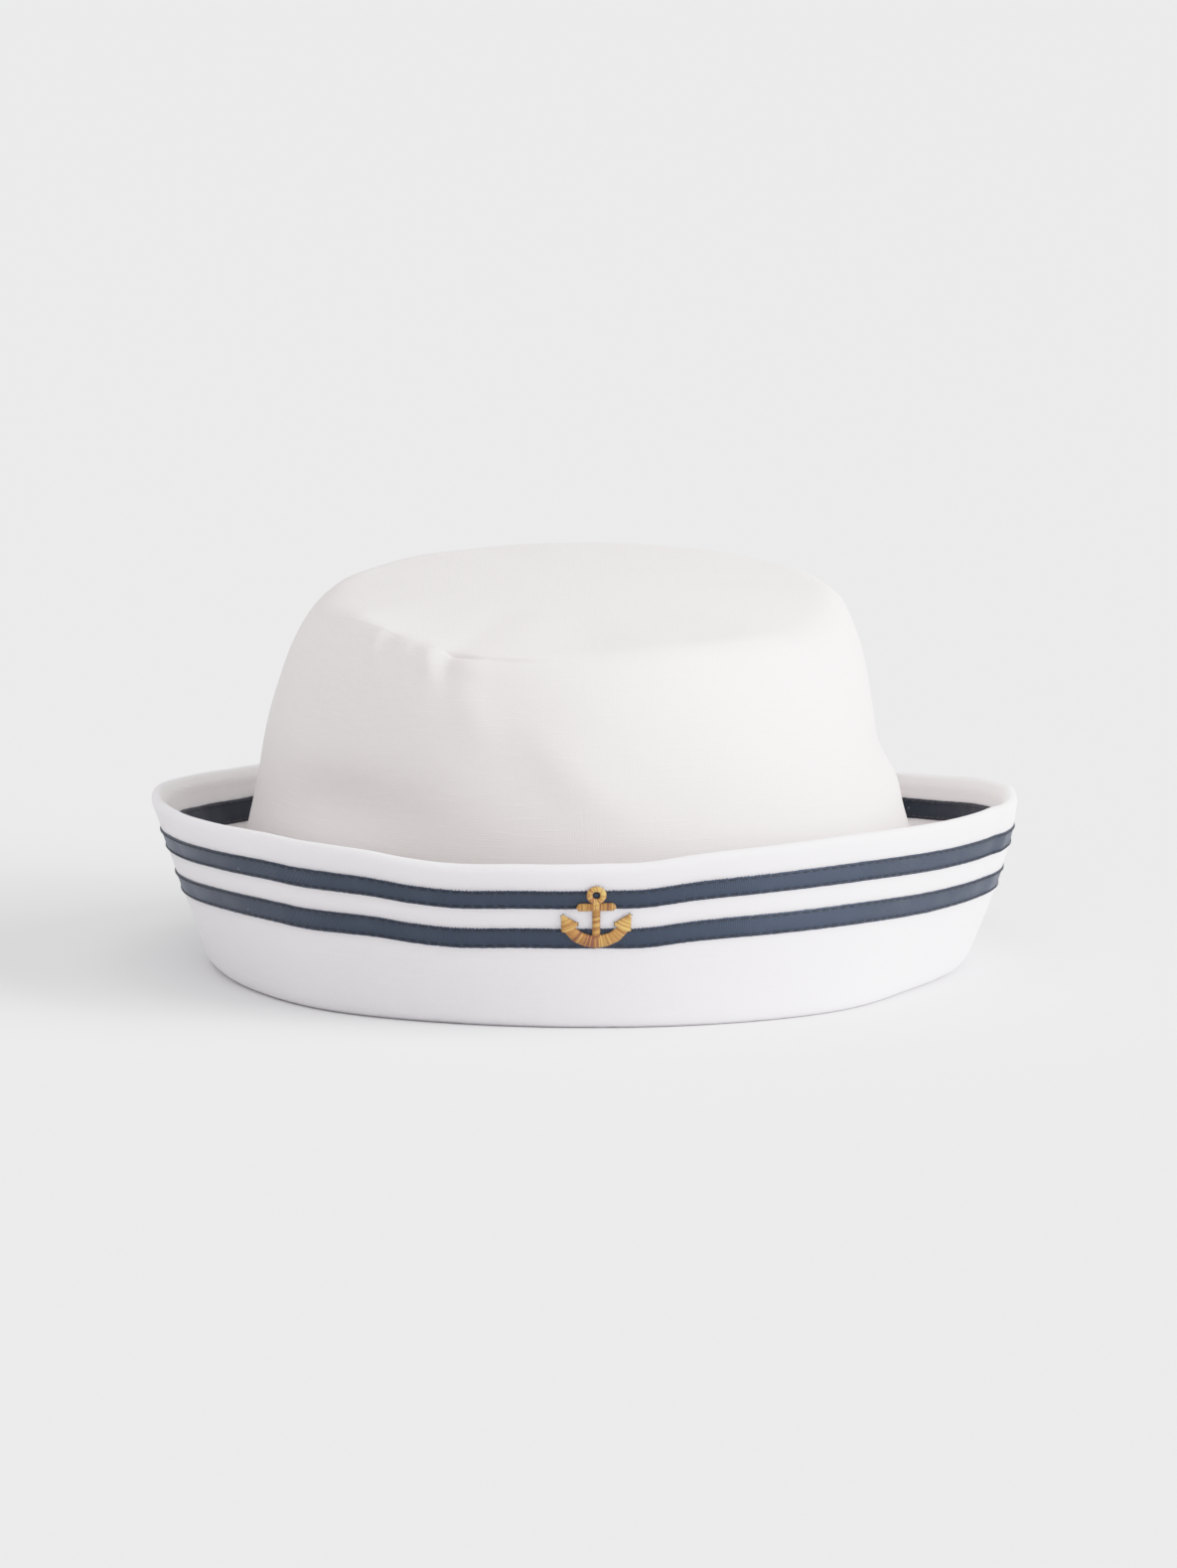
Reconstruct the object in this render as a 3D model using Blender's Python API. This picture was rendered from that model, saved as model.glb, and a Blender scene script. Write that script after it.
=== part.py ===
"""Child's sailor cap: a round crown with an upturned brim, two navy ribbons
on each face of the brim and an anchor embroidered on the front.

The cap rests on the fold of its brim. The front faces -Y, +Z is up, and the
origin is on the resting plane under the middle of the crown. Azimuth 0 is
the front and grows towards +X. Sizes in this file are in millimetres.
"""

import math
from typing import NamedTuple

import bmesh
import bpy
import numpy as np
from mathutils import Vector

MM = 0.001                      # millimetres to Blender's metres

# ---------------------------------------------------------------- sizes
SEGMENTS = 64                   # flat facets round the cap
GAP = 0.3                       # clearance between neighbouring pieces

CROWN_WALL = 1.5                # crown cloth with its seam allowances
CROWN_BASE_RADIUS = 77.3        # outside of the crown at the brim seam
CROWN_TAPER = 0.5               # share of the taper that runs evenly up the side
SHOULDER_POWER = 6              # how tightly the side turns in to the tip

TIP_HALF_WIDTH = 59.5           # crown tip, side to side
TIP_HALF_DEPTH = 62.0           # crown tip, front to back
TIP_HEIGHT = 82.2               # seam of the tip, midway between front and back
TIP_TILT = 4.3                  # the seam is this much lower in front, higher behind
TIP_DOME = 2.0                  # rise of the tip inside its seam
TIP_EDGE_ROUND = 0.5            # bevel on the tip's rim

BRIM_WALL = 2.4                 # two layers and their stiffening
BRIM_SEAM_HEIGHT = 6.5          # seam of crown and brim above the table
BRIM_SEAM_RADIUS = 75.7         # head side of that seam
BRIM_FLAT = 3.0                 # width of the fold pressed flat by the table
BRIM_SPREAD = 2.5               # how far the fold swells beyond its flat
BRIM_FLARE = 1.5                # 1 is a straight flare; more bellies outwards
FOLD_TOP = 0.10                 # height share where the fold becomes the wall

RIBBON_WIDTH = 4.7
RIBBON_THICKNESS = 0.5
RIM_TO_UPPER_RIBBON = 6.6       # from the top of the rim, along the cloth
RIBBON_PITCH = 9.8              # upper edge to upper edge

EMBLEM_AZIMUTH = 1.6            # degrees off the front
EMBLEM_MIDDLE = 13.1            # below the top of the rim, along the cloth
EMBLEM_THICKNESS = 0.9
ANCHOR_RING_MIDDLE = 5.2        # above the emblem's middle
ANCHOR_RING_OUTER = 2.0
ANCHOR_RING_HOLE = 1.0
ANCHOR_SHANK_HALF = 0.75
RING_POINTS = 12


class BrimStation(NamedTuple):
    """One place round the brim, with its outer face's sizes."""

    azimuth: float              # degrees
    rim_radius: float
    rim_height: float
    foot_radius: float          # outer edge of the flat that rests


BRIM_STATIONS = (
    BrimStation(0, 99.5, 38.4, 82.0),
    BrimStation(20, 98.2, 40.2, 83.0),
    BrimStation(40, 96.7, 41.4, 82.5),
    BrimStation(60, 95.5, 40.0, 81.0),
    BrimStation(80, 96.4, 39.8, 82.5),
    BrimStation(100, 97.8, 37.4, 83.5),
    BrimStation(130, 98.0, 33.5, 83.0),
    BrimStation(180, 99.6, 34.5, 82.5),
    BrimStation(230, 98.0, 34.5, 82.5),
    BrimStation(260, 97.0, 36.8, 82.5),
    BrimStation(280, 97.0, 38.8, 82.0),
    BrimStation(300, 97.0, 39.6, 82.5),
    BrimStation(320, 96.7, 40.0, 83.0),
    BrimStation(340, 99.2, 38.1, 81.5),
)


class SeamStation(NamedTuple):
    """One place round the seam of the crown's tip."""

    azimuth: float              # degrees
    lift: float                 # above the seam's plane


SEAM_STATIONS = (
    SeamStation(0, 0.1),
    SeamStation(20, 1.4),
    SeamStation(40, 0.8),
    SeamStation(60, -1.5),
    SeamStation(80, 0.3),
    SeamStation(120, 0.0),
    SeamStation(180, 0.0),
    SeamStation(240, 0.1),
    SeamStation(280, 0.2),
    SeamStation(305, 1.9),
    SeamStation(330, -0.7),
)


class Dent(NamedTuple):
    """A soft hollow pressed into the crown's side; a minus depth is a swell."""

    azimuth: float              # degrees
    height: float
    azimuth_spread: float       # degrees
    height_spread: float
    depth: float


CROWN_DENTS = (
    Dent(90, 56, 32, 19, 4.8),      # slack right side
    Dent(315, 49, 15, 13, 1.3),     # hollow low on the front left
    Dent(347, 55, 13, 12, 1.2),     # end of the long soft crease
    Dent(330, 66, 8, 9, 1.0),       # start of that crease under the seam
    Dent(205, 46, 26, 16, 1.6),     # slack at the back
)


class AnchorPoint(NamedTuple):
    """A corner of the anchor's right half, from its ring downwards."""

    across: float
    up: float


ANCHOR_HALF = (
    AnchorPoint(0.75, 2.9),         # under the ring
    AnchorPoint(3.7, 3.1),          # stock
    AnchorPoint(4.2, 2.3),
    AnchorPoint(3.7, 1.5),
    AnchorPoint(0.75, 1.7),         # shank
    AnchorPoint(0.75, -4.5),
    AnchorPoint(2.9, -4.0),         # inside of the arm
    AnchorPoint(4.8, -2.6),
    AnchorPoint(3.9, -1.6),         # fluke
    AnchorPoint(7.4, 0.6),
    AnchorPoint(7.5, -3.4),
    AnchorPoint(6.6, -3.5),
    AnchorPoint(5.0, -5.7),         # outside of the arm
    AnchorPoint(2.6, -6.9),
)
ANCHOR_FOOT = -7.4                  # lowest point of the anchor


class Finish(NamedTuple):
    """Colour, roughness and metallic value of one material."""

    name: str
    colour: tuple
    roughness: float
    metallic: float


WHITE_CLOTH = Finish("white_cloth", (0.80, 0.79, 0.78), 0.9, 0.0)
BRIM_CLOTH = Finish("brim_cloth", (0.82, 0.82, 0.84), 0.9, 0.0)
NAVY_RIBBON = Finish("navy_ribbon", (0.035, 0.050, 0.080), 0.75, 0.0)
GOLD_THREAD = Finish("gold_thread", (0.50, 0.26, 0.06), 0.55, 0.0)


# ------------------------------------------------------------- geometry
def round_value(stations, column, azimuth):
    """Read a column of a table at an azimuth in degrees, smoothly round the cap."""
    count = len(stations)
    places = [station.azimuth for station in stations]
    azimuth %= 360
    low = max(i for i in range(count) if places[i] <= azimuth)

    def row(index):
        turns, wrapped = divmod(index, count)
        return places[wrapped] + 360 * turns, getattr(stations[wrapped], column)

    def slope(index):
        (a0, v0), (a1, v1), (a2, v2) = row(index - 1), row(index), row(index + 1)
        before, after = a1 - a0, a2 - a1
        return ((v1 - v0) / before * after + (v2 - v1) / after * before) / (before + after)

    (start, v_start), (end, v_end) = row(low), row(low + 1)
    step = end - start
    u = (azimuth - start) / step
    return (
        (2 * u**3 - 3 * u**2 + 1) * v_start
        + (u**3 - 2 * u**2 + u) * step * slope(low)
        + (3 * u**2 - 2 * u**3) * v_end
        + (u**3 - u**2) * step * slope(low + 1)
    )


def on_azimuth(azimuth, radius, height):
    """Point at an azimuth in degrees, a radius and a height."""
    angle = math.radians(azimuth)
    return Vector((radius * math.sin(angle), -radius * math.cos(angle), height))


def azimuths():
    """Azimuths of the facets' edges, in degrees."""
    return [360 * i / SEGMENTS for i in range(SEGMENTS)]


def bend(start, corner, end, count):
    """Points of a quadratic curve, without its start."""
    points = []
    for i in range(1, count + 1):
        t = i / count
        points.append(
            tuple(
                (1 - t) ** 2 * a + 2 * t * (1 - t) * b + t**2 * c
                for a, b, c in zip(start, corner, end)
            )
        )
    return points


def path_normals(path):
    """Unit normals of a path of (radius, height) points, on its left side."""
    points = np.array(path)
    along = np.gradient(points, axis=0)
    along /= np.linalg.norm(along, axis=1)[:, None]
    return np.stack([-along[:, 1], along[:, 0]], axis=1)


# ------------------------------------------------------------ brim shape
def wall_point(azimuth, share):
    """Outer face of the brim at a share of its height, as (radius, height)."""
    rim = round_value(BRIM_STATIONS, "rim_radius", azimuth)
    top = round_value(BRIM_STATIONS, "rim_height", azimuth)
    foot = round_value(BRIM_STATIONS, "foot_radius", azimuth) + BRIM_SPREAD
    return foot + (rim - foot) * (1 - (1 - share) ** BRIM_FLARE), top * share


def wall_frame(azimuth, below_rim):
    """Point and outward normal of the brim's outer face, below the rim's top."""
    shares = np.linspace(1, 0, 61)
    points = np.array([wall_point(azimuth, share) for share in shares])
    lengths = np.concatenate([[0], np.cumsum(np.linalg.norm(np.diff(points, axis=0), axis=1))])
    normals = path_normals(points)
    point = [np.interp(below_rim, lengths, points[:, k]) for k in (0, 1)]
    normal = np.array([np.interp(below_rim, lengths, normals[:, k]) for k in (0, 1)])
    return np.array(point), normal / np.linalg.norm(normal)


def brim_path(azimuth):
    """Under and outer face of the brim, from the head seam to near the rim."""
    foot = round_value(BRIM_STATIONS, "foot_radius", azimuth)
    flat_start = (foot - BRIM_FLAT, 0.0)
    flat_end = (foot, 0.0)
    seam = (BRIM_SEAM_RADIUS, BRIM_SEAM_HEIGHT)
    path = [seam]
    path += bend(seam, (BRIM_SEAM_RADIUS + 0.4, 0.0), flat_start, 3)
    path += [flat_end]
    path += bend(flat_end, (foot + BRIM_SPREAD, 0.2), wall_point(azimuth, FOLD_TOP), 2)
    path += [wall_point(azimuth, share) for share in (0.22, 0.38, 0.56, 0.76)]
    path += [tuple(wall_frame(azimuth, BRIM_WALL / 2)[0])]
    return path


def thick_outline(path, thickness):
    """Closed outline of a path with a thickness on its left, a level start and a round end."""
    outer = np.array(path)
    inner = outer + path_normals(path) * thickness
    inner[0] = outer[0] + (thickness, 0)
    middle = (outer[-1] + inner[-1]) / 2
    across = outer[-1] - middle
    ahead = outer[-1] - outer[-2]
    ahead *= np.linalg.norm(across) / np.linalg.norm(ahead)
    cap = []
    for degrees in (45, 90, 135):
        turn = math.radians(degrees)
        cap.append(middle + across * math.cos(turn) + ahead * math.sin(turn))
    return [*outer, *cap, *inner[::-1]]


def ribbon_outline(azimuth, below_rim, inside):
    """Four corners of a ribbon's section on the brim's outer or inner face."""
    near, far = GAP, GAP + RIBBON_THICKNESS
    if inside:
        near, far = -BRIM_WALL - near, -BRIM_WALL - far
    corners = []
    for depth, lift in ((0, near), (0, far), (RIBBON_WIDTH, far), (RIBBON_WIDTH, near)):
        point, normal = wall_frame(azimuth, below_rim + depth)
        corners.append(point + normal * lift)
    return corners


# ----------------------------------------------------------- crown shape
def tip_radius(azimuth):
    """Radius of the tip's oval seam."""
    angle = math.radians(azimuth)
    return 1 / math.hypot(math.sin(angle) / TIP_HALF_WIDTH, math.cos(angle) / TIP_HALF_DEPTH)


def tip_height(azimuth, share):
    """Upper face of the tip at a share of the way from its middle to its seam."""
    tilt = TIP_TILT * math.cos(math.radians(azimuth)) * share
    lift = round_value(SEAM_STATIONS, "lift", azimuth) * share**3
    return TIP_HEIGHT - tilt + lift + TIP_DOME * (1 - share**2)


def dent_depth(azimuth, height):
    """How far the crown's side is pressed in at a place."""
    depth = 0.0
    for dent in CROWN_DENTS:
        turn = (azimuth - dent.azimuth + 180) % 360 - 180
        across = (turn / dent.azimuth_spread) ** 2
        up = ((height - dent.height) / dent.height_spread) ** 2
        depth += dent.depth * math.exp(-across - up)
    return depth


def side_point(azimuth, share):
    """Outer face of the crown's side from the brim seam (0) to the tip (1)."""
    base = BRIM_SEAM_HEIGHT + GAP
    height = base + (tip_height(azimuth, 1) - base) * share
    taper = CROWN_TAPER * share + (1 - CROWN_TAPER) * share**SHOULDER_POWER
    radius = CROWN_BASE_RADIUS + (tip_radius(azimuth) - CROWN_BASE_RADIUS) * taper
    return radius - dent_depth(azimuth, height), height


def side_outline(azimuth):
    """Section of the crown's side, whose upper edge carries the tip."""
    span = tip_height(azimuth, 1) - BRIM_SEAM_HEIGHT - GAP
    last = 1 - (CROWN_WALL + GAP) / span
    shares = [last * share for share in (0, 0.14, 0.28, 0.42, 0.56, 0.69, 0.80, 0.89, 0.95, 1)]
    outer = np.array([side_point(azimuth, share) for share in shares])
    inner = outer + path_normals(outer) * CROWN_WALL
    inner[0] = outer[0] - (CROWN_WALL, 0)
    inner[-1] = outer[-1] - (CROWN_WALL * 1.3, 0)
    return [*outer, *inner[::-1]]


def tip_profile(azimuth):
    """Upper face, rim and lower face of the tip, from pole to pole."""
    edge, _ = side_point(azimuth, 1)
    inset = 1 - TIP_EDGE_ROUND / edge
    upper = [(edge * share, tip_height(azimuth, share)) for share in (0, 0.25, 0.5, 0.72, 0.88, inset)]
    rim = [(edge, tip_height(azimuth, 1) - drop) for drop in (TIP_EDGE_ROUND, CROWN_WALL)]
    lower = [
        (edge * share, tip_height(azimuth, share) - CROWN_WALL) for share in (0.88, 0.6, 0.3, 0)
    ]
    return upper + rim + lower


# ---------------------------------------------------------- mesh builders
def add_object(name, mesh, finish):
    """Add a mesh to the scene as a named object with its own material."""
    material = bpy.data.materials.new(f"{name}_{finish.name}")
    material.use_nodes = True
    shader = material.node_tree.nodes["Principled BSDF"]
    shader.inputs["Base Color"].default_value = (*finish.colour, 1)
    shader.inputs["Roughness"].default_value = finish.roughness
    shader.inputs["Metallic"].default_value = finish.metallic
    mesh.materials.append(material)
    mesh.shade_smooth()
    mesh.set_sharp_from_angle(angle=math.radians(40))
    part = bpy.data.objects.new(name, mesh)
    bpy.context.collection.objects.link(part)
    return part


def mesh_from(name, bm):
    """Write a bmesh to a new mesh with its faces pointing out."""
    bmesh.ops.recalc_face_normals(bm, faces=bm.faces)
    if bm.calc_volume(signed=True) < 0:
        bmesh.ops.reverse_faces(bm, faces=bm.faces)
    mesh = bpy.data.meshes.new(name)
    bm.to_mesh(mesh)
    bm.free()
    return mesh


def ring_solid(name, outline_at, finish):
    """Closed ring whose section may change with the azimuth."""
    bm = bmesh.new()
    loops = []
    for azimuth in azimuths():
        loop = [
            bm.verts.new(on_azimuth(azimuth, radius, height) * MM)
            for radius, height in outline_at(azimuth)
        ]
        loops.append(loop)
    for loop, following in zip(loops, loops[1:] + loops[:1]):
        for i in range(len(loop)):
            j = (i + 1) % len(loop)
            bm.faces.new((loop[i], loop[j], following[j], following[i]))
    bmesh.ops.triangulate(bm, faces=bm.faces)
    return add_object(name, mesh_from(name, bm), finish)


def disc_solid(name, profile_at, finish):
    """Closed disc made of a profile from pole to pole at each azimuth."""
    bm = bmesh.new()
    first = profile_at(0)
    poles = [bm.verts.new(Vector((0, 0, first[k][1])) * MM) for k in (0, -1)]
    loops = []
    for azimuth in azimuths():
        rows = profile_at(azimuth)[1:-1]
        loops.append([bm.verts.new(on_azimuth(azimuth, *row) * MM) for row in rows])
    for loop, following in zip(loops, loops[1:] + loops[:1]):
        bm.faces.new((poles[0], loop[0], following[0]))
        bm.faces.new((poles[1], following[-1], loop[-1]))
        for i in range(len(loop) - 1):
            bm.faces.new((loop[i], loop[i + 1], following[i + 1], following[i]))
    bmesh.ops.triangulate(bm, faces=bm.faces)
    return add_object(name, mesh_from(name, bm), finish)


def anchor_outline():
    """Outer outline of the anchor, clockwise from the top of its ring."""
    lowest = -math.degrees(math.acos(ANCHOR_SHANK_HALF / ANCHOR_RING_OUTER))
    right = []
    for i in range(RING_POINTS // 2 + 1):
        angle = math.radians(90 + (lowest - 90) * i / (RING_POINTS // 2))
        up = ANCHOR_RING_MIDDLE + ANCHOR_RING_OUTER * math.sin(angle)
        right.append((ANCHOR_RING_OUTER * math.cos(angle), up))
    right += [tuple(point) for point in ANCHOR_HALF]
    left = [(-across, up) for across, up in reversed(right[1:])]
    return [*right, (0, ANCHOR_FOOT), *left]


def anchor_hole():
    """Outline of the hole in the anchor's ring."""
    turns = [2 * math.pi * i / RING_POINTS for i in range(RING_POINTS)]
    return [
        (ANCHOR_RING_HOLE * math.cos(turn), ANCHOR_RING_MIDDLE + ANCHOR_RING_HOLE * math.sin(turn))
        for turn in turns
    ]


def on_brim(across, up, lift):
    """Place a point of the emblem on the brim's front, lifted off the cloth."""
    centre, _ = wall_frame(EMBLEM_AZIMUTH, EMBLEM_MIDDLE)
    azimuth = EMBLEM_AZIMUTH + math.degrees(across / centre[0])
    point, normal = wall_frame(azimuth, EMBLEM_MIDDLE - up)
    return on_azimuth(azimuth, *(point + normal * lift))


def anchor_emblem():
    """Anchor plate lying on the outer ribbons."""
    bm = bmesh.new()
    edges = []
    for outline in (anchor_outline(), anchor_hole()):
        verts = [bm.verts.new((across, up, 0)) for across, up in outline]
        edges += [bm.edges.new(pair) for pair in zip(verts, verts[1:] + verts[:1])]
    bmesh.ops.triangle_fill(bm, edges=edges, use_beauty=True)
    raised = bmesh.ops.extrude_face_region(bm, geom=list(bm.faces), use_keep_orig=True)
    top = [item for item in raised["geom"] if isinstance(item, bmesh.types.BMVert)]
    bmesh.ops.translate(bm, vec=(0, 0, EMBLEM_THICKNESS), verts=top)
    bmesh.ops.triangulate(bm, faces=bm.faces)
    base = 2 * GAP + RIBBON_THICKNESS
    for vert in bm.verts:
        vert.co = on_brim(vert.co.x, vert.co.y, base + vert.co.z) * MM
    return add_object("anchor_emblem", mesh_from("anchor_emblem", bm), GOLD_THREAD)


def ribbon(name, row, inside):
    """One navy ribbon: row 0 is nearer the rim, row 1 is the lower one."""
    below_rim = RIM_TO_UPPER_RIBBON + RIBBON_PITCH * row

    def outline_at(azimuth):
        return ribbon_outline(azimuth, below_rim, inside)

    return ring_solid(name, outline_at, NAVY_RIBBON)


def brim_outline(azimuth):
    """Closed section of the brim, from the head seam round the fold to the rim."""
    return thick_outline(brim_path(azimuth), BRIM_WALL)


def clear_scene():
    """Remove every object of the open file."""
    for item in list(bpy.data.objects):
        bpy.data.objects.remove(item, do_unlink=True)


def main():
    """Build the cap's pieces."""
    clear_scene()
    disc_solid("crown_tip", tip_profile, WHITE_CLOTH)
    ring_solid("crown_side", side_outline, WHITE_CLOTH)
    ring_solid("brim", brim_outline, BRIM_CLOTH)
    for face, inside in (("outer", False), ("inner", True)):
        for row, place in enumerate(("upper", "lower")):
            ribbon(f"{face}_{place}_ribbon", row, inside)
    anchor_emblem()


main()
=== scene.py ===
"""Looks of a child's sailor cap: its cloth, ribbons, embroidery, studio and camera.

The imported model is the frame. Each class below holds one sub-assembly or one
finish. Shapes are worked out in millimetres and degrees and written to meshes in
metres. Azimuth 0 is the front of the cap, towards -Y, and azimuth 90 is +X.
"""

import logging
import math
from dataclasses import dataclass
from enum import Enum
from functools import cache
from typing import Callable

import bmesh
import bpy
import numpy as np
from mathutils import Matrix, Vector


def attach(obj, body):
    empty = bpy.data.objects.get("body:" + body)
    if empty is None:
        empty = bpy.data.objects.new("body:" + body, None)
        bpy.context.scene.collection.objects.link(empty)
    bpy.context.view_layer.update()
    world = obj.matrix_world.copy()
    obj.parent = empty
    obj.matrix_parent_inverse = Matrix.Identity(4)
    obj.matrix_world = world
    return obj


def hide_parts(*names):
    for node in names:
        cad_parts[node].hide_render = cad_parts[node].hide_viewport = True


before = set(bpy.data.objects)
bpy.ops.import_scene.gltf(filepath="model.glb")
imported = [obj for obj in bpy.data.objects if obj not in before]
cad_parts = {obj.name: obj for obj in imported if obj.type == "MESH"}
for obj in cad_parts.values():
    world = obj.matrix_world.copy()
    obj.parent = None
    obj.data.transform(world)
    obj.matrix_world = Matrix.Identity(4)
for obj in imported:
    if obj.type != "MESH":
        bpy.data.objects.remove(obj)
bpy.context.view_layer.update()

LOG = logging.getLogger("sailor_cap")
MM = 0.001                          # millimetres to Blender's metres
SHARP_TURN = 70                     # degrees between faces past which an edge is sharp

Array = np.ndarray
Colour = tuple[float, float, float]
Socket = bpy.types.NodeSocket


class Slot(Enum):
    """Material slots of the record."""

    CROWN_CLOTH = "crown_cloth"
    BRIM_CLOTH = "brim_cloth"
    NAVY_RIBBON = "navy_ribbon"
    GOLD_THREAD = "gold_thread"


class BrimFace(Enum):
    """The two faces of the brim that carry ribbons."""

    OUTER = 1.0
    INNER = -1.0


# ------------------------------------------------------------------ tables
@dataclass(frozen=True)
class BrimStation:
    """One place round the brim, with its outer face's sizes."""

    azimuth: float
    rim_radius: float
    rim_height: float
    foot_radius: float
    flare: float                    # above 1 the wall swells out, below 1 it falls in


@dataclass(frozen=True)
class SeamStation:
    """One place round the seam of crown side and tip."""

    azimuth: float
    lift: float                     # above the seam's tilted plane
    ridge: float                    # height of the turned edge on the tip's side
    groove: float                   # depth of the seam line
    soft: float                     # how softly the shoulder turns there


@dataclass(frozen=True)
class Dent:
    """A soft hollow of the crown's side, round or oval."""

    azimuth: float
    height: float
    azimuth_spread: float
    height_spread: float
    depth: float


@dataclass(frozen=True)
class Pucker:
    """A small fold near the crown's seam; a minus rise is a hollow."""

    azimuth: float
    below_seam: float
    length: float
    width: float
    lean: float                     # degrees off the fall line, towards +X
    rise: float


@dataclass(frozen=True)
class Wave:
    """A soft wave of the brim, in its wall or in the line of its rim."""

    azimuth: float
    spread: float
    rise: float


def table(kind: type, *rows: tuple[float, ...]) -> tuple:
    """Rows of a table, each made from its columns' values in order.

    Args:
        kind: Class of the rows, whose fields are the columns.
        rows: Values of each row.

    Returns:
        One object of the class for each row.
    """
    return tuple(kind(*row) for row in rows)


BRIM_STATIONS = table(
    BrimStation,
    (0, 99.5, 37.3, 86.6, 0.85),
    (20, 98.2, 39.5, 87.2, 0.85),
    (40, 96.7, 40.3, 86.2, 0.90),
    (60, 95.5, 39.4, 81.6, 1.25),
    (70, 97.1, 39.6, 81.7, 1.5),
    (77, 98.5, 39.7, 82.3, 1.5),
    (86, 96.9, 39.7, 82.8, 1.5),
    (98, 96.3, 38.2, 83.4, 1.5),
    (130, 98.0, 32.6, 83.0, 1.4),
    (180, 99.6, 34.5, 82.5, 1.3),
    (230, 98.0, 34.5, 82.5, 1.0),
    (250, 97.4, 35.9, 82.4, 0.80),
    (268, 97.7, 37.4, 82.2, 0.62),
    (284, 97.0, 38.4, 81.4, 1.2),
    (300, 97.0, 38.6, 82.8, 0.90),
    (320, 96.7, 38.9, 86.0, 0.85),
    (340, 99.2, 37.0, 86.0, 0.85),
)

SEAM_STATIONS = table(
    SeamStation,
    (0, 0.1, 0.00, 0.03, 3.0),
    (20, 1.2, 0.00, 0.03, 3.2),
    (40, 0.8, 0.00, 0.03, 3.4),
    (60, -1.5, 0.00, 0.03, 3.6),
    (80, 0.3, 0.00, 0.05, 3.8),
    (120, 0.0, 0.02, 0.10, 3.6),
    (180, 0.0, 0.02, 0.10, 3.4),
    (240, 0.1, 0.02, 0.08, 3.8),
    (280, 0.4, 0.04, 0.03, 4.2),
    (292, 1.9, 0.03, 0.00, 4.0),
    (300, 2.4, 0.06, 0.00, 2.4),
    (311, 2.2, 0.08, 0.00, 1.6),
    (318, 1.6, 0.04, 0.00, 1.7),
    (325, 0.6, 0.00, 0.02, 1.9),
    (329, -0.2, 0.00, 0.10, 2.0),
    (332, -0.75, 0.00, 0.75, 2.2),
    (336.5, -0.70, 0.00, 0.70, 2.2),
    (340, -0.55, 0.00, 0.06, 2.6),
)

CROWN_DENTS = table(
    Dent,
    (90, 56, 32, 22, 5.6),      # slack right side
    (88, 77, 30, 10, 1.2),      # softer right shoulder
    (271, 28, 28, 10, -1.3),    # swell low on the left
    (274, 65, 18, 9, 0.6),      # slack high on the left
    (308, 61, 19, 20, 3.6),     # flat panel on the front left
    (311, 43.5, 16, 6.5, 2.5),  # hollow low on the front left
    (311, 33.5, 22, 5.5, -1.8), # cloth pressed out by the brim
    (347, 55, 13, 12, 0.8),     # end of the long soft crease
    (91, 49, 15, 5.5, 0.8),     # kink low on the right
    (91, 42, 15, 4.6, -0.9),    # cloth pressed out below it
    (205, 46, 26, 16, 1.6),     # slack at the back
)

PUCKERS = table(
    Pucker,
    (311.2, 4.4, 4.4, 2.0, 0, 0.75),
    (315.2, 4.4, 4.0, 1.8, 0, -0.45),
    (320.0, 3.6, 2.6, 1.7, 0, 0.30),
    (326.8, 3.6, 3.4, 2.5, 0, 0.90),
    (331.6, 4.2, 3.8, 2.0, 6, -0.80),
    (338.0, 3.8, 2.6, 3.2, 0, 0.35),
    (338.5, 13.0, 9.0, 3.8, 28, 0.55),
    (357.5, 26.0, 15.0, 5.0, 42, 0.60),
    (303.0, 6.0, 5.0, 3.0, -8, -0.20),
    (12.0, 6.0, 6.0, 3.4, -10, -0.10),
    (34.0, 6.5, 6.5, 4.0, 8, -0.12),
    (58.0, 7.0, 7.0, 3.2, -6, -0.16),
    (98.0, 6.5, 6.0, 3.0, 5, -0.30),
    (136.0, 6.0, 5.5, 2.4, 0, -0.36),
    (172.0, 5.5, 5.0, 2.2, 8, -0.34),
    (214.0, 6.0, 6.0, 2.6, -8, -0.36),
    (251.0, 6.0, 5.5, 2.6, 4, -0.30),
    (284.0, 6.0, 6.0, 3.0, 0, -0.20),
)

BRIM_WAVES = table(
    Wave,
    (73.6, 1.7, 0.45),
    (70.8, 1.9, -0.35),
    (292, 5.0, 0.3),
    (24, 9.0, 0.3),
    (128, 7.0, 0.5),
    (206, 8.0, 0.5),
    (238, 6.0, -0.4),
)

RIM_WAVES = table(
    Wave,
    (319, 5.5, -0.45),
    (331, 4.0, 0.30),
    (343, 4.5, -0.25),
    (352, 4.0, 0.15),
    (8, 4.5, -0.55),
    (112, 9.0, 0.3),
    (160, 8.0, -0.3),
    (218, 9.0, 0.3),
)


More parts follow.
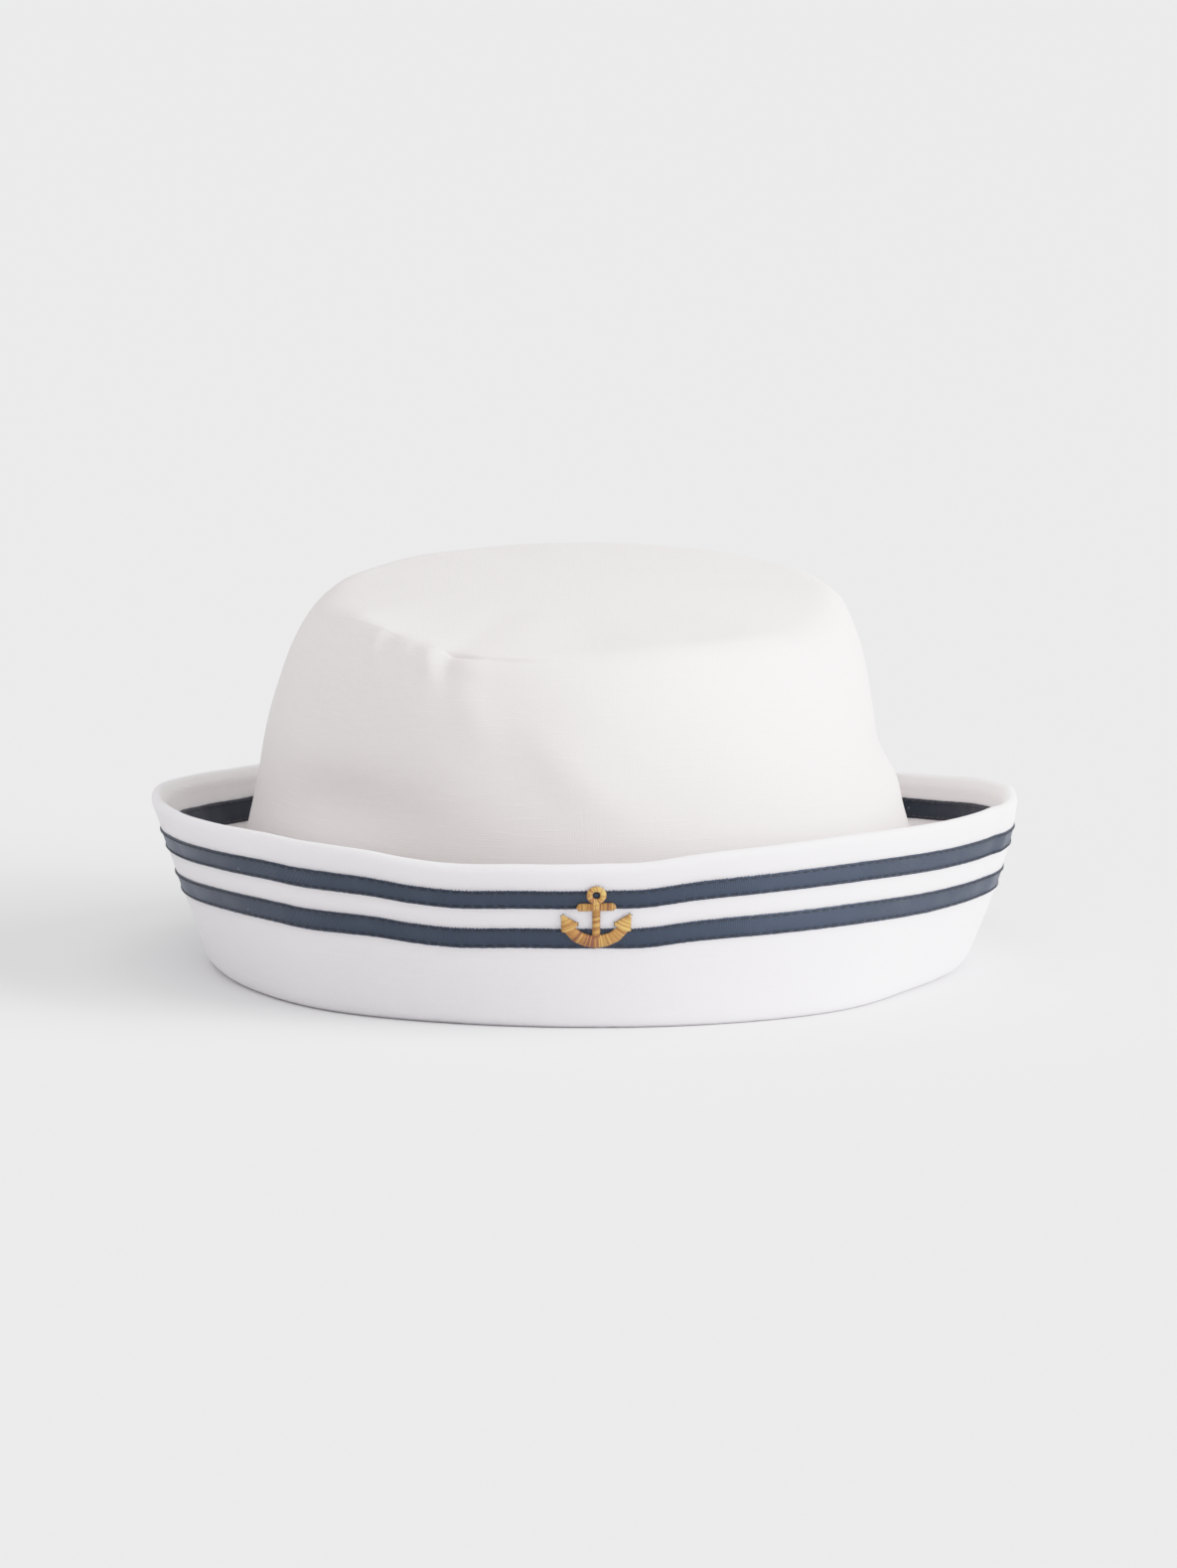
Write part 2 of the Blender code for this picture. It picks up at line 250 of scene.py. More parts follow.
def round_values(stations: tuple, column: str, azimuth: Array) -> Array:
    """Read a column of a table smoothly round the cap.

    Args:
        stations: Rows with an azimuth each, in rising order from 0.
        column: Name of the column.
        azimuth: Places in degrees, of any shape.

    Returns:
        The column's value at each place.
    """
    places = np.array([station.azimuth for station in stations], dtype=float)
    values = np.array([getattr(station, column) for station in stations], dtype=float)
    places = np.concatenate([places - 360, places, places + 360])
    values = np.tile(values, 3)
    steps = np.diff(places)
    rises = np.diff(values) / steps
    inner = (rises[:-1] * steps[1:] + rises[1:] * steps[:-1]) / (steps[:-1] + steps[1:])
    slopes = np.concatenate([[0.0], inner, [0.0]])
    azimuth = np.mod(azimuth, 360)
    low = np.searchsorted(places, azimuth, side="right") - 1
    step = steps[low]
    u = (azimuth - places[low]) / step
    return (
        (2 * u**3 - 3 * u**2 + 1) * values[low]
        + (u**3 - 2 * u**2 + u) * step * slopes[low]
        + (3 * u**2 - 2 * u**3) * values[low + 1]
        + (u**3 - u**2) * step * slopes[low + 1]
    )


def off_azimuth(azimuth: Array, centre: float) -> Array:
    """Signed degrees from a centre, between -180 and 180."""
    return (azimuth - centre + 180) % 360 - 180


def arc_from(azimuth: Array, centre: float, radius: float | Array) -> Array:
    """Signed millimetres round the cap from a centre, at a radius."""
    return np.radians(off_azimuth(azimuth, centre)) * radius


def bell(away: Array, spread: float | Array) -> Array:
    """Smooth hump of height 1, at distances from its middle."""
    return np.exp(-((away / spread) ** 2))


def waves(rows: tuple[Wave, ...], azimuth: Array) -> Array:
    """Sum of a table's waves at each place.

    Args:
        rows: The table.
        azimuth: Places in degrees.

    Returns:
        Heights in millimetres, shaped as azimuth.
    """
    total = np.zeros_like(azimuth)
    for wave in rows:
        total = total + wave.rise * bell(off_azimuth(azimuth, wave.azimuth), wave.spread)
    return total


def on_azimuth(azimuth: Array, radius: Array, height: Array) -> Array:
    """Points in metres at azimuths in degrees, radii and heights in millimetres.

    Args:
        azimuth: Places in degrees.
        radius: Millimetres from the cap's axis.
        height: Millimetres above the table.

    Returns:
        Points with a last axis of x, y and z.
    """
    angle = np.radians(azimuth)
    points = np.stack([radius * np.sin(angle), -radius * np.cos(angle), height], axis=-1)
    return points * MM


def path_lengths(paths: Array) -> Array:
    """Length along each path of (radius, height) points, starting at 0."""
    steps = np.linalg.norm(np.diff(paths, axis=1), axis=2)
    return np.concatenate([np.zeros((len(paths), 1)), np.cumsum(steps, axis=1)], axis=1)


def left_normals(paths: Array) -> Array:
    """Unit normals on the left of paths of (radius, height) points.

    Args:
        paths: Points shaped (paths, points, 2).

    Returns:
        Normals, shaped as paths.
    """
    along = np.gradient(paths, axis=1)
    along /= np.linalg.norm(along, axis=2, keepdims=True)
    return np.stack([-along[..., 1], along[..., 0]], axis=-1)


def bend(start: Array, corner: Array, end: Array, count: int) -> Array:
    """Points of quadratic curves, without their starts.

    Args:
        start: First points, shaped (azimuths, 2).
        corner: Control points, shaped as start.
        end: Last points, shaped as start.
        count: Points on each curve.

    Returns:
        Points shaped (azimuths, count, 2).
    """
    t = (np.arange(1, count + 1) / count)[None, :, None]
    return (1 - t) ** 2 * start[:, None] + 2 * t * (1 - t) * corner[:, None] + t**2 * end[:, None]


def in_space(azimuth: Array, spots: Array, normals: Array) -> tuple[Array, Array]:
    """Points in metres and unit normals in space, from (radius, height) at azimuths."""
    points, faces = (on_azimuth(azimuth, part[:, 0], part[:, 1]) for part in (spots, normals))
    return points, faces / MM


def azimuths(count: int) -> Array:
    """Evenly spaced azimuths in degrees, starting at the front."""
    return np.arange(count) * 360 / count


def cloth_slack(azimuth: Array, along: Array, seed: int, rise: float) -> Array:
    """Faint unevenness of a sewn cloth, as a sum of a few long waves.

    Args:
        azimuth: Places in degrees.
        along: Places along the cloth in millimetres, of a matching shape.
        seed: Seed of the waves.
        rise: Height of the whole in millimetres.

    Returns:
        Heights in millimetres.
    """
    count, most_turns, most_slant = 14, 14, 0.13
    draw = np.random.default_rng(seed)
    angle = np.radians(azimuth)
    total = 0.0
    for _ in range(count):
        turns = draw.integers(2, most_turns + 1)
        slant = draw.uniform(-most_slant, most_slant)
        start = draw.uniform(0, 2 * math.pi)
        total = total + np.cos(turns * angle + slant * along + start)
    return total * rise / math.sqrt(count / 2)


# ------------------------------------------------------------------- forms
@dataclass(frozen=True)
class CrownForm:
    """Shape of the crown: its side, its flat tip and the seam between them."""

    wall: float = 1.5
    base_height: float = 6.8
    base_radius: float = 77.3
    taper: float = 0.5              # share of the taper that runs evenly up the side
    shoulder_power: float = 6.0     # how tightly the side turns in to the tip
    tip_half_width: float = 59.5
    tip_half_depth: float = 62.0
    tip_height: float = 82.2
    tip_tilt: float = 4.3
    tip_dome: float = 4.6
    lift_power: float = 5.0         # how near its seam the tip follows the seam's lift
    shoulder_reach: float = 4.0     # how far the soft turn reaches, in its own softness
    blur_cut: float = 2.4           # where the softening bell ends, in its own spreads
    base_calm: float = 3.0          # the way to the base holds this many spreads of it
    ridge_place: float = 0.3        # of the turned edge, past the seam
    ridge_width: float = 0.45
    groove_width: float = 0.5
    slack: float = 0.10             # unevenness of the cloth
    slack_seed: int = 3
    calm_start: float = 8.0         # past the seam, where the tip's slack starts to fade
    calm_short: float = 18.0        # how much shorter than the tip the fading is
    back_seam: float = 180.0        # azimuth of the side's joining seam
    join_depth: float = 0.30
    join_width: float = 0.6
    lap_rise: float = 0.22          # the joining seam's allowance, seen through the cloth
    lap_place: float = 2.2
    lap_width: float = 2.0
    side_end: float = 4.0           # how sharply the joining seam ends at the shoulder
    side_points: int = 141
    tip_points: int = 121
    blur_points: int = 13

    def tip_radius(self, azimuth: Array) -> Array:
        """Radius of the tip's oval seam.

        Args:
            azimuth: Places in degrees.

        Returns:
            Radii in millimetres, shaped as azimuth.
        """
        angle = np.radians(azimuth)
        across = np.sin(angle) / self.tip_half_width
        along = np.cos(angle) / self.tip_half_depth
        return 1 / np.hypot(across, along)

    def tip_level(self, azimuth: Array, share: Array) -> Array:
        """Height of the tip at a share of the way from its middle to its seam.

        Args:
            azimuth: Places in degrees.
            share: 0 at the middle, 1 at the seam.

        Returns:
            Heights in millimetres.
        """
        tilt = self.tip_tilt * np.cos(np.radians(azimuth)) * share
        lift = round_values(SEAM_STATIONS, "lift", azimuth) * share**self.lift_power
        return self.tip_height - tilt + lift + self.tip_dome * (1 - share**2)

    def dent_depth(self, azimuth: Array, height: Array) -> Array:
        """How far the crown's side is pressed in.

        Args:
            azimuth: Places in degrees.
            height: Millimetres above the table, of a matching shape.

        Returns:
            Depths in millimetres.
        """
        depth = np.zeros(np.broadcast(azimuth, height).shape)
        for dent in CROWN_DENTS:
            across = (off_azimuth(azimuth, dent.azimuth) / dent.azimuth_spread) ** 2
            up = ((height - dent.height) / dent.height_spread) ** 2
            depth = depth + dent.depth * np.exp(-across - up)
        return depth

    def plain_path(self, azimuth: Array) -> tuple[Array, int]:
        """Outer face from the brim seam up the side and in to the tip's middle.

        Args:
            azimuth: Places in degrees, shaped (azimuths,).

        Returns:
            Points shaped (azimuths, points, 2) as (radius, height), and the seam's index.
        """
        side_share = np.linspace(0, 1, self.side_points)[None, :]
        tip_share = np.linspace(1, 0, self.tip_points)[None, 1:]
        turn = azimuth[:, None]
        radius = self.tip_radius(turn)
        height = self.base_height + (self.tip_level(turn, 1.0) - self.base_height) * side_share
        taper = self.taper * side_share + (1 - self.taper) * side_share**self.shoulder_power
        reach = self.base_radius + (radius - self.base_radius) * taper
        side = np.stack([reach - self.dent_depth(turn, height), height], axis=-1)
        edge = side[:, -1:, 0]
        tip = np.stack([edge * tip_share, self.tip_level(turn, tip_share)], axis=-1)
        return np.concatenate([side, tip], axis=1), side_share.shape[1] - 1

    def relief(self, azimuth: Array, place: Array) -> Array:
        """Fine folds of the cloth, as heights above the plain face.

        Args:
            azimuth: Places in degrees, shaped (azimuths, 1).
            place: Millimetres past the seam towards the tip's middle, minus down the side.

        Returns:
            Heights in millimetres, shaped as place.
        """
        ridge = round_values(SEAM_STATIONS, "ridge", azimuth)
        groove = round_values(SEAM_STATIONS, "groove", azimuth)
        height = ridge * bell(place - self.ridge_place, self.ridge_width)
        height = height - groove * bell(place, self.groove_width)
        for fold in PUCKERS:
            across = arc_from(azimuth, fold.azimuth, self.tip_half_width)
            down = -place - fold.below_seam
            lean = math.radians(fold.lean)
            along = down * math.cos(lean) + across * math.sin(lean)
            aside = across * math.cos(lean) - down * math.sin(lean)
            height = height + fold.rise * np.exp(
                -((along / fold.length) ** 2) - (aside / fold.width) ** 2
            )
        fading = self.tip_half_width - self.calm_short
        towards_pole = np.clip((place - self.calm_start) / fading, 0, 1)
        calm = (1 - towards_pole) ** 2 * (1 + 2 * towards_pole)
        height = height + cloth_slack(azimuth, place, self.slack_seed, self.slack) * calm
        join = arc_from(azimuth, self.back_seam, self.base_radius)
        on_side = 1 / (1 + np.exp(place * self.side_end))
        height = height - self.join_depth * bell(join, self.join_width) * on_side
        return height + self.lap_rise * bell(join - self.lap_place, self.lap_width) * on_side

    def skin(self, azimuth: Array, side_rows: Array, tip_rows: Array) -> tuple[Array, ...]:
        """Outer face with its folds, softened at the seam.

        Args:
            azimuth: Places in degrees, shaped (azimuths,).
            side_rows: Shares of the side's length, from 0 at the base to 1 at the seam.
            tip_rows: Shares of the tip's length, from 0 at the seam to 1 at the middle.

        Returns:
            Points and outward normals shaped (azimuths, rows, 2), and the cloth length
            past the seam shaped (azimuths, rows).
        """
        path, seam = self.plain_path(azimuth)
        lengths = path_lengths(path)
        lengths = lengths - lengths[:, seam : seam + 1]
        side = lengths[:, :1] * (1 - side_rows[None, :])
        tip = lengths[:, -1:] * tip_rows[None, :]
        places = np.concatenate([side, tip], axis=1)
        offsets = np.linspace(-self.blur_cut, self.blur_cut, self.blur_points)
        weights = np.exp(-(offsets**2) / 2)
        weights /= weights.sum()
        soft = round_values(SEAM_STATIONS, "soft", azimuth)[:, None]
        blur = soft * bell(places, soft * self.shoulder_reach)
        blur = np.minimum(blur, np.abs(lengths[:, :1] - places) / self.base_calm)
        points = np.empty((*places.shape, 2))
        for row in range(len(azimuth)):
            spread = places[row][:, None] + offsets[None, :] * blur[row][:, None]
            for axis in (0, 1):
                values = np.interp(spread, lengths[row], path[row, :, axis])
                points[row, :, axis] = values @ weights
        outward = -left_normals(points)
        points = points + outward * self.relief(azimuth[:, None], places)[..., None]
        return points, outward, places


@dataclass(frozen=True)
class BrimForm:
    """Shape of the turned-up brim: its fold, its flared wall and its rim."""

    wall: float = 2.4
    seam_height: float = 6.5
    seam_radius: float = 75.7
    seam_turn: float = 0.4          # how far out the cloth turns below its seam
    flat: float = 3.0               # width pressed flat by the table
    spread: float = 2.5             # how far the fold swells beyond the flat
    fold_rise: float = 0.2
    fold_top: float = 0.10          # share of the height where the fold becomes the wall
    last_share: float = 0.955       # where the wall gives way to the rim
    thin_share: float = 0.55        # of the wall's thickness, at the head seam
    thin_length: float = 12.0       # from the head seam to the full thickness
    slack: float = 0.10             # unevenness of the cloth
    slack_seed: int = 11
    swell_power: float = 1.5        # how the cloth's swells fade towards the foot
    rim_bead: float = 0.45          # swell of the turned edge inside the rim
    bead_below: float = 1.6
    bead_width: float = 1.5
    back_seam: float = 180.0        # azimuth of the joining seam
    join_depth: float = 0.3
    join_width: float = 0.6
    under_points: int = 12
    flat_points: int = 4
    fold_points: int = 8
    wall_points: int = 61
    place_points: int = 81
    rim_step: int = 15              # degrees round the rim's edge

    def plain_wall(self, azimuth: Array, share: Array) -> Array:
        """Outer face at shares of its height, shaped (azimuths, shares, 2).

        Args:
            azimuth: Places in degrees, shaped (azimuths,).
            share: 0 at the foot, 1 at the rim.

        Returns:
            Points as (radius, height).
        """
        turn = azimuth[:, None]
        rim = round_values(BRIM_STATIONS, "rim_radius", turn)
        top = round_values(BRIM_STATIONS, "rim_height", turn) + waves(RIM_WAVES, turn)
        foot = round_values(BRIM_STATIONS, "foot_radius", turn) + self.spread
        flare = round_values(BRIM_STATIONS, "flare", turn)
        share = np.atleast_2d(share)
        radius = foot + (rim - foot) * (1 - (1 - share) ** flare)
        swell = cloth_slack(turn, top * share, self.slack_seed, self.slack)
        swell = swell + waves(BRIM_WAVES, turn)
        swell = swell - self.join_depth * bell(arc_from(turn, self.back_seam, rim), self.join_width)
        radius = radius + swell * np.clip(share, 0, 1) ** self.swell_power
        return np.stack([radius, top * share + 0 * radius], axis=-1)

    def place(self, azimuth: Array, below_rim: Array) -> tuple[Array, Array]:
        """Point and outward normal of the outer face at a length below the rim.

        Args:
            azimuth: Places in degrees, shaped (places,).
            below_rim: Cloth lengths from the top of the rim, shaped (places,) or one value.

        Returns:
            Points and unit normals, each shaped (places, 2).
        """
        below_rim = np.broadcast_to(below_rim, azimuth.shape)
        path = self.plain_wall(azimuth, np.linspace(1, 0, self.place_points))
        lengths = path_lengths(path)
        normals = left_normals(path)
        points, faces = (
            np.array([
                [np.interp(below_rim[row], lengths[row], values[row, :, axis]) for axis in (0, 1)]
                for row in range(len(azimuth))
            ])
            for values in (path, normals)
        )
        return points, faces / np.linalg.norm(faces, axis=1, keepdims=True)

    def section(self, azimuth: Array) -> Array:
        """Closed section at each azimuth, from the head seam round the fold and the rim.

        Args:
            azimuth: Places in degrees, shaped (azimuths,).

        Returns:
            Points shaped (azimuths, points, 2).
        """
        foot = round_values(BRIM_STATIONS, "foot_radius", azimuth)

        def corner(radius: Array, height: float) -> Array:
            """The same corner of the section at each azimuth."""
            return np.stack([radius + 0 * foot, height + 0 * foot], axis=1)

        seam = corner(self.seam_radius, self.seam_height)
        under = corner(self.seam_radius + self.seam_turn, 0.0)
        flat_start, flat_end = corner(foot - self.flat, 0.0), corner(foot, 0.0)
        turn = corner(foot + self.spread, self.fold_rise)
        rise = self.plain_wall(azimuth, np.array([self.fold_top]))[:, 0]
        rim, _ = self.place(azimuth, self.wall / 2)
        shares = np.linspace(self.fold_top, self.last_share, self.wall_points + 1)[1:]
        outer = np.concatenate(
            [
                seam[:, None],
                bend(seam, under, flat_start, self.under_points),
                bend(flat_start, (flat_start + flat_end) / 2, flat_end, self.flat_points),
                bend(flat_end, turn, rise, self.fold_points),
                self.plain_wall(azimuth, shares),
                rim[:, None],
            ],
            axis=1,
        )
        lengths = path_lengths(outer)
        bead = self.rim_bead * bell(lengths[:, -1:] - lengths - self.bead_below, self.bead_width)
        full = np.clip(lengths / self.thin_length, 0, 1)
        thickness = self.wall * (self.thin_share + (1 - self.thin_share) * full) + bead
        inner = outer + left_normals(outer) * thickness[..., None]
        inner[:, 0] = outer[:, 0] + np.array([self.wall * self.thin_share, 0.0])
        middle = (outer[:, -1] + inner[:, -1]) / 2
        across = outer[:, -1] - middle
        ahead = outer[:, -1] - outer[:, -2]
        ahead *= (np.linalg.norm(across, axis=1) / np.linalg.norm(ahead, axis=1))[:, None]
        turns = np.radians(np.arange(self.rim_step, 180, self.rim_step))[None, :, None]
        cap = middle[:, None] + across[:, None] * np.cos(turns) + ahead[:, None] * np.sin(turns)
        return np.concatenate([outer, cap, inner[:, ::-1]], axis=1)


# ----------------------------------------------------------- mesh builders
def fill_mesh(name: str, points: Array, faces: Array, uv: Array) -> bpy.types.Mesh:
    """Write arrays to a smooth mesh whose faces point out.

    Args:
        name: Name of the new mesh.
        points: Vertices in metres, shaped (vertices, 3).
        faces: Corner indices, shaped (faces, 3 or 4).
        uv: Cloth coordinates in metres of each corner, shaped (faces, corners, 2).

    Returns:
        The new mesh, with a UV map named cloth.
    """
    first = points[faces[:, 0]]
    volume = 0.0
    for k in range(1, faces.shape[1] - 1):
        volume += np.einsum("ij,ij->", first, np.cross(points[faces[:, k]], points[faces[:, k + 1]]))
    if volume < 0:
        faces = faces[:, ::-1]
        uv = uv[:, ::-1]
    mesh = bpy.data.meshes.new(name)
    mesh.from_pydata(points.tolist(), [], faces.tolist())
    layer = mesh.uv_layers.new(name="cloth")
    layer.data.foreach_set("uv", np.ascontiguousarray(uv, dtype=np.float32).ravel())
    mesh.shade_smooth()
    mesh.set_sharp_from_angle(angle=math.radians(SHARP_TURN))
    return mesh


def round_quads(turns: int, steps: int, rows: int) -> tuple[Array, Array, Array]:
    """Four-cornered faces of a grid of points that closes round the cap.

    Args:
        turns: Sections round the cap.
        steps: Points on each section.
        rows: Faces on each section, as many as its points where it closes too.

    Returns:
        The section and the step that each face starts from, and the faces' corners.
    """
    i, j = np.meshgrid(np.arange(turns), np.arange(rows), indexing="ij")
    following, after = (i + 1) % turns, (j + 1) % steps
    corners = [i * steps + j, following * steps + j, following * steps + after, i * steps + after]
    return i, j, np.stack(corners, axis=-1).reshape(-1, 4)


def ring_mesh(name: str, sections: Array, azimuth: Array, round_length: float) -> bpy.types.Mesh:
    """Make a closed ring from one closed section at each azimuth.

    Args:
        name: Name of the new mesh.
        sections: Points shaped (azimuths, points, 2) as (radius, height).
        azimuth: Places in degrees, shaped (azimuths,).
        round_length: Cloth length once round the ring, in millimetres.

    Returns:
        The new mesh.
    """
    turns, steps = sections.shape[:2]
    points = on_azimuth(azimuth[:, None], sections[..., 0], sections[..., 1]).reshape(-1, 3)
    i, j, faces = round_quads(turns, steps, steps)
    lengths = path_lengths(np.concatenate([sections, sections[:, :1]], axis=1))
    starts = ((i, 0), (i + 1, 0), (i + 1, 1), (i, 1))
    u = np.stack([place for place, _ in starts], axis=-1) / turns * round_length
    v = np.stack([lengths[place % turns, j + step] for place, step in starts], axis=-1)
    uv = np.stack([u, v], axis=-1).reshape(-1, 4, 2) * MM
    return fill_mesh(name, points, faces, uv)


def disc_mesh(name: str, profiles: Array, azimuth: Array) -> bpy.types.Mesh:
    """Make a closed disc from a profile at each azimuth, closed by two poles.

    Args:
        name: Name of the new mesh.
        profiles: Points shaped (azimuths, points, 2), whose first and last are the poles.
        azimuth: Places in degrees, shaped (azimuths,).

    Returns:
        The new mesh.
    """
    rows = profiles[:, 1:-1]
    turns, steps = rows.shape[:2]
    points = on_azimuth(azimuth[:, None], rows[..., 0], rows[..., 1]).reshape(-1, 3)
    poles = [(0, 0, profiles[:, k, 1].mean() * MM) for k in (0, -1)]
    points = np.concatenate([points, poles])
    _, _, faces = round_quads(turns, steps, steps - 1)
    place = np.arange(turns) * steps
    ahead = np.roll(place, -1)
    last = steps - 1
    pole = np.full(turns, turns * steps)
    upper = np.stack([pole, ahead, place], axis=1)
    lower = np.stack([pole + 1, place + last, ahead + last], axis=1)
    faces = np.concatenate([faces[:, [0, 1, 2]], faces[:, [0, 2, 3]], upper, lower])
    return fill_mesh(name, points, faces, points[faces][..., :2])


def add_object(name: str, data: bpy.types.ID) -> bpy.types.Object:
    """Make an object of its data and link it to the scene.

    Args:
        name: Name of the object.
        data: Its mesh, light or camera.

    Returns:
        The new object.
    """
    item = bpy.data.objects.new(name, data)
    bpy.context.collection.objects.link(item)
    return item


def point_cloud(name: str, points: Array, vectors: dict[str, Array], values: dict[str, Array],
                edges: list[tuple[int, int]]) -> bpy.types.Object:
    """Make an object of loose points, or of lines, that carries named attributes.

    Args:
        name: Name of the new object.
        points: Vertices in metres.
        vectors: Vector attributes by name, one row for each vertex.
        values: Number attributes by name, one for each vertex.
        edges: Pairs of vertex indices, empty for loose points.

    Returns:
        The new object, linked to the scene.
    """
    mesh = bpy.data.meshes.new(name)
    mesh.from_pydata(points.tolist(), edges, [])
    for layers, kind, column in ((vectors, "FLOAT_VECTOR", "vector"), (values, "FLOAT", "value")):
        for key, rows in layers.items():
            data = mesh.attributes.new(key, kind, "POINT").data
            data.foreach_set(column, np.ascontiguousarray(rows, dtype=np.float32).ravel())
    return add_object(name, mesh)


def loop_lines(name: str, loops: list[tuple[Array, Array]]) -> bpy.types.Object:
    """Make an object of closed lines for stitches to follow.

    Args:
        name: Name of the new object.
        loops: Points in metres and lift vectors of each line.

    Returns:
        The new object, which carries the vector attribute lift.
    """
    edges = []
    start = 0
    for spots, _ in loops:
        count = len(spots)
        edges += [(start + i, start + (i + 1) % count) for i in range(count)]
        start += count
    points, lifts = (np.concatenate(part) for part in zip(*loops))
    return point_cloud(name, points, {"lift": lifts}, {}, edges)


def count_triangles(mesh: bpy.types.Mesh) -> int:
    """Triangles that a mesh's faces make."""
    return sum(len(face.vertices) - 2 for face in mesh.polygons)


def add_piece(name: str, mesh: bpy.types.Mesh, material: bpy.types.Material,
              nodes: tuple[str, ...] = ()) -> bpy.types.Object:
    """Add a finished mesh as a piece that rides on the cap.

    Args:
        name: Name of the piece.
        mesh: Its mesh, with its place in it.
        material: Its material.
        nodes: CAD nodes that it stands for.

    Returns:
        The new object.
    """
    mesh.materials.clear()
    mesh.materials.append(material)
    piece = add_object(name, mesh)
    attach(piece, "root")
    if nodes:
        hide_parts(*nodes)
    LOG.info("%s: %d triangles, replaces %s", name, count_triangles(mesh), ", ".join(nodes) or "none")
    return piece


# ------------------------------------------------------------ node helpers
class NodeBench:
    """Adds and links the nodes of one tree."""

    def __init__(self, tree: bpy.types.NodeTree) -> None:
        """Take the tree to work on."""
        self.tree = tree

    def add(self, kind: str, inputs: dict | None = None, **settings: object) -> bpy.types.Node:
        """Add a node.

        Args:
            kind: Type name of the node.
            inputs: Values or sockets by input name or index.
            settings: Properties of the node.

        Returns:
            The new node.
        """
        node = self.tree.nodes.new(kind)
        for key, value in settings.items():
            setattr(node, key, value)
        self.dress(node, inputs or {})
        return node

    def dress(self, node: bpy.types.Node, inputs: dict) -> None:
        """Link sockets to a node's inputs, or set the inputs' values, with a full alpha in colours.

        Args:
            node: The node.
            inputs: Values or sockets by input name or index.
        """
        for key, value in inputs.items():
            socket = node.inputs[key]
            if isinstance(value, bpy.types.NodeSocket):
                self.tree.links.new(value, socket)
            else:
                socket.default_value = (*value, 1.0) if socket.type == "RGBA" else value

    def math(self, operation: str, first: object, second: object = 0.0) -> Socket:
        """Result of a Math node."""
        return self.add("ShaderNodeMath", {0: first, 1: second}, operation=operation).outputs[0]

    def times(self, first: object, second: object) -> Socket:
        """Product of two values."""
        return self.math("MULTIPLY", first, second)

    def blend(self, factor: object, first: object, second: object, mode: str = "MIX") -> Socket:
        """Colour made by a Mix node."""
        inputs = {0: factor, 6: first, 7: second}
        return self.add("ShaderNodeMix", inputs, data_type="RGBA", blend_type=mode).outputs[2]

    def step(self, value: object, low: float, high: float, start: float = 0.0, end: float = 1.0) -> Socket:
        """Smooth step of a value between two limits."""
        inputs = {0: value, 1: low, 2: high, 3: start, 4: end}
        return self.add("ShaderNodeMapRange", inputs, interpolation_type="SMOOTHSTEP").outputs[0]

    def noise(self, vector: object, scale: object, detail: float = 2.0, rough: float = 0.5) -> Socket:
        """Value of a Noise Texture."""
        inputs = {"Vector": vector, "Scale": scale, "Detail": detail, "Roughness": rough}
        return self.add("ShaderNodeTexNoise", inputs).outputs[0]

    def combine(self, x: object, y: object, z: object = 0.0) -> Socket:
        """Vector of three values."""
        return self.add("ShaderNodeCombineXYZ", {0: x, 1: y, 2: z}).outputs[0]

    def split(self, vector: object) -> bpy.types.NodeOutputs:
        """The three values of a vector."""
        return self.add("ShaderNodeSeparateXYZ", {0: vector}).outputs

    def uv(self, name: str) -> Socket:
        """Coordinates of a UV map."""
        return self.add("ShaderNodeUVMap", uv_map=name).outputs[0]

    def bump(self, height: Socket, distance: float, strength: float = 1.0) -> Socket:
        """Normal of a Bump node."""
        inputs = {"Height": height, "Distance": distance, "Strength": strength}
        return self.add("ShaderNodeBump", inputs).outputs[0]

    def named(self, key: str, kind: str = "FLOAT") -> Socket:
        """Value of a named attribute, in a Geometry Nodes tree."""
        return self.add("GeometryNodeInputNamedAttribute", {"Name": key}, data_type=kind).outputs[0]


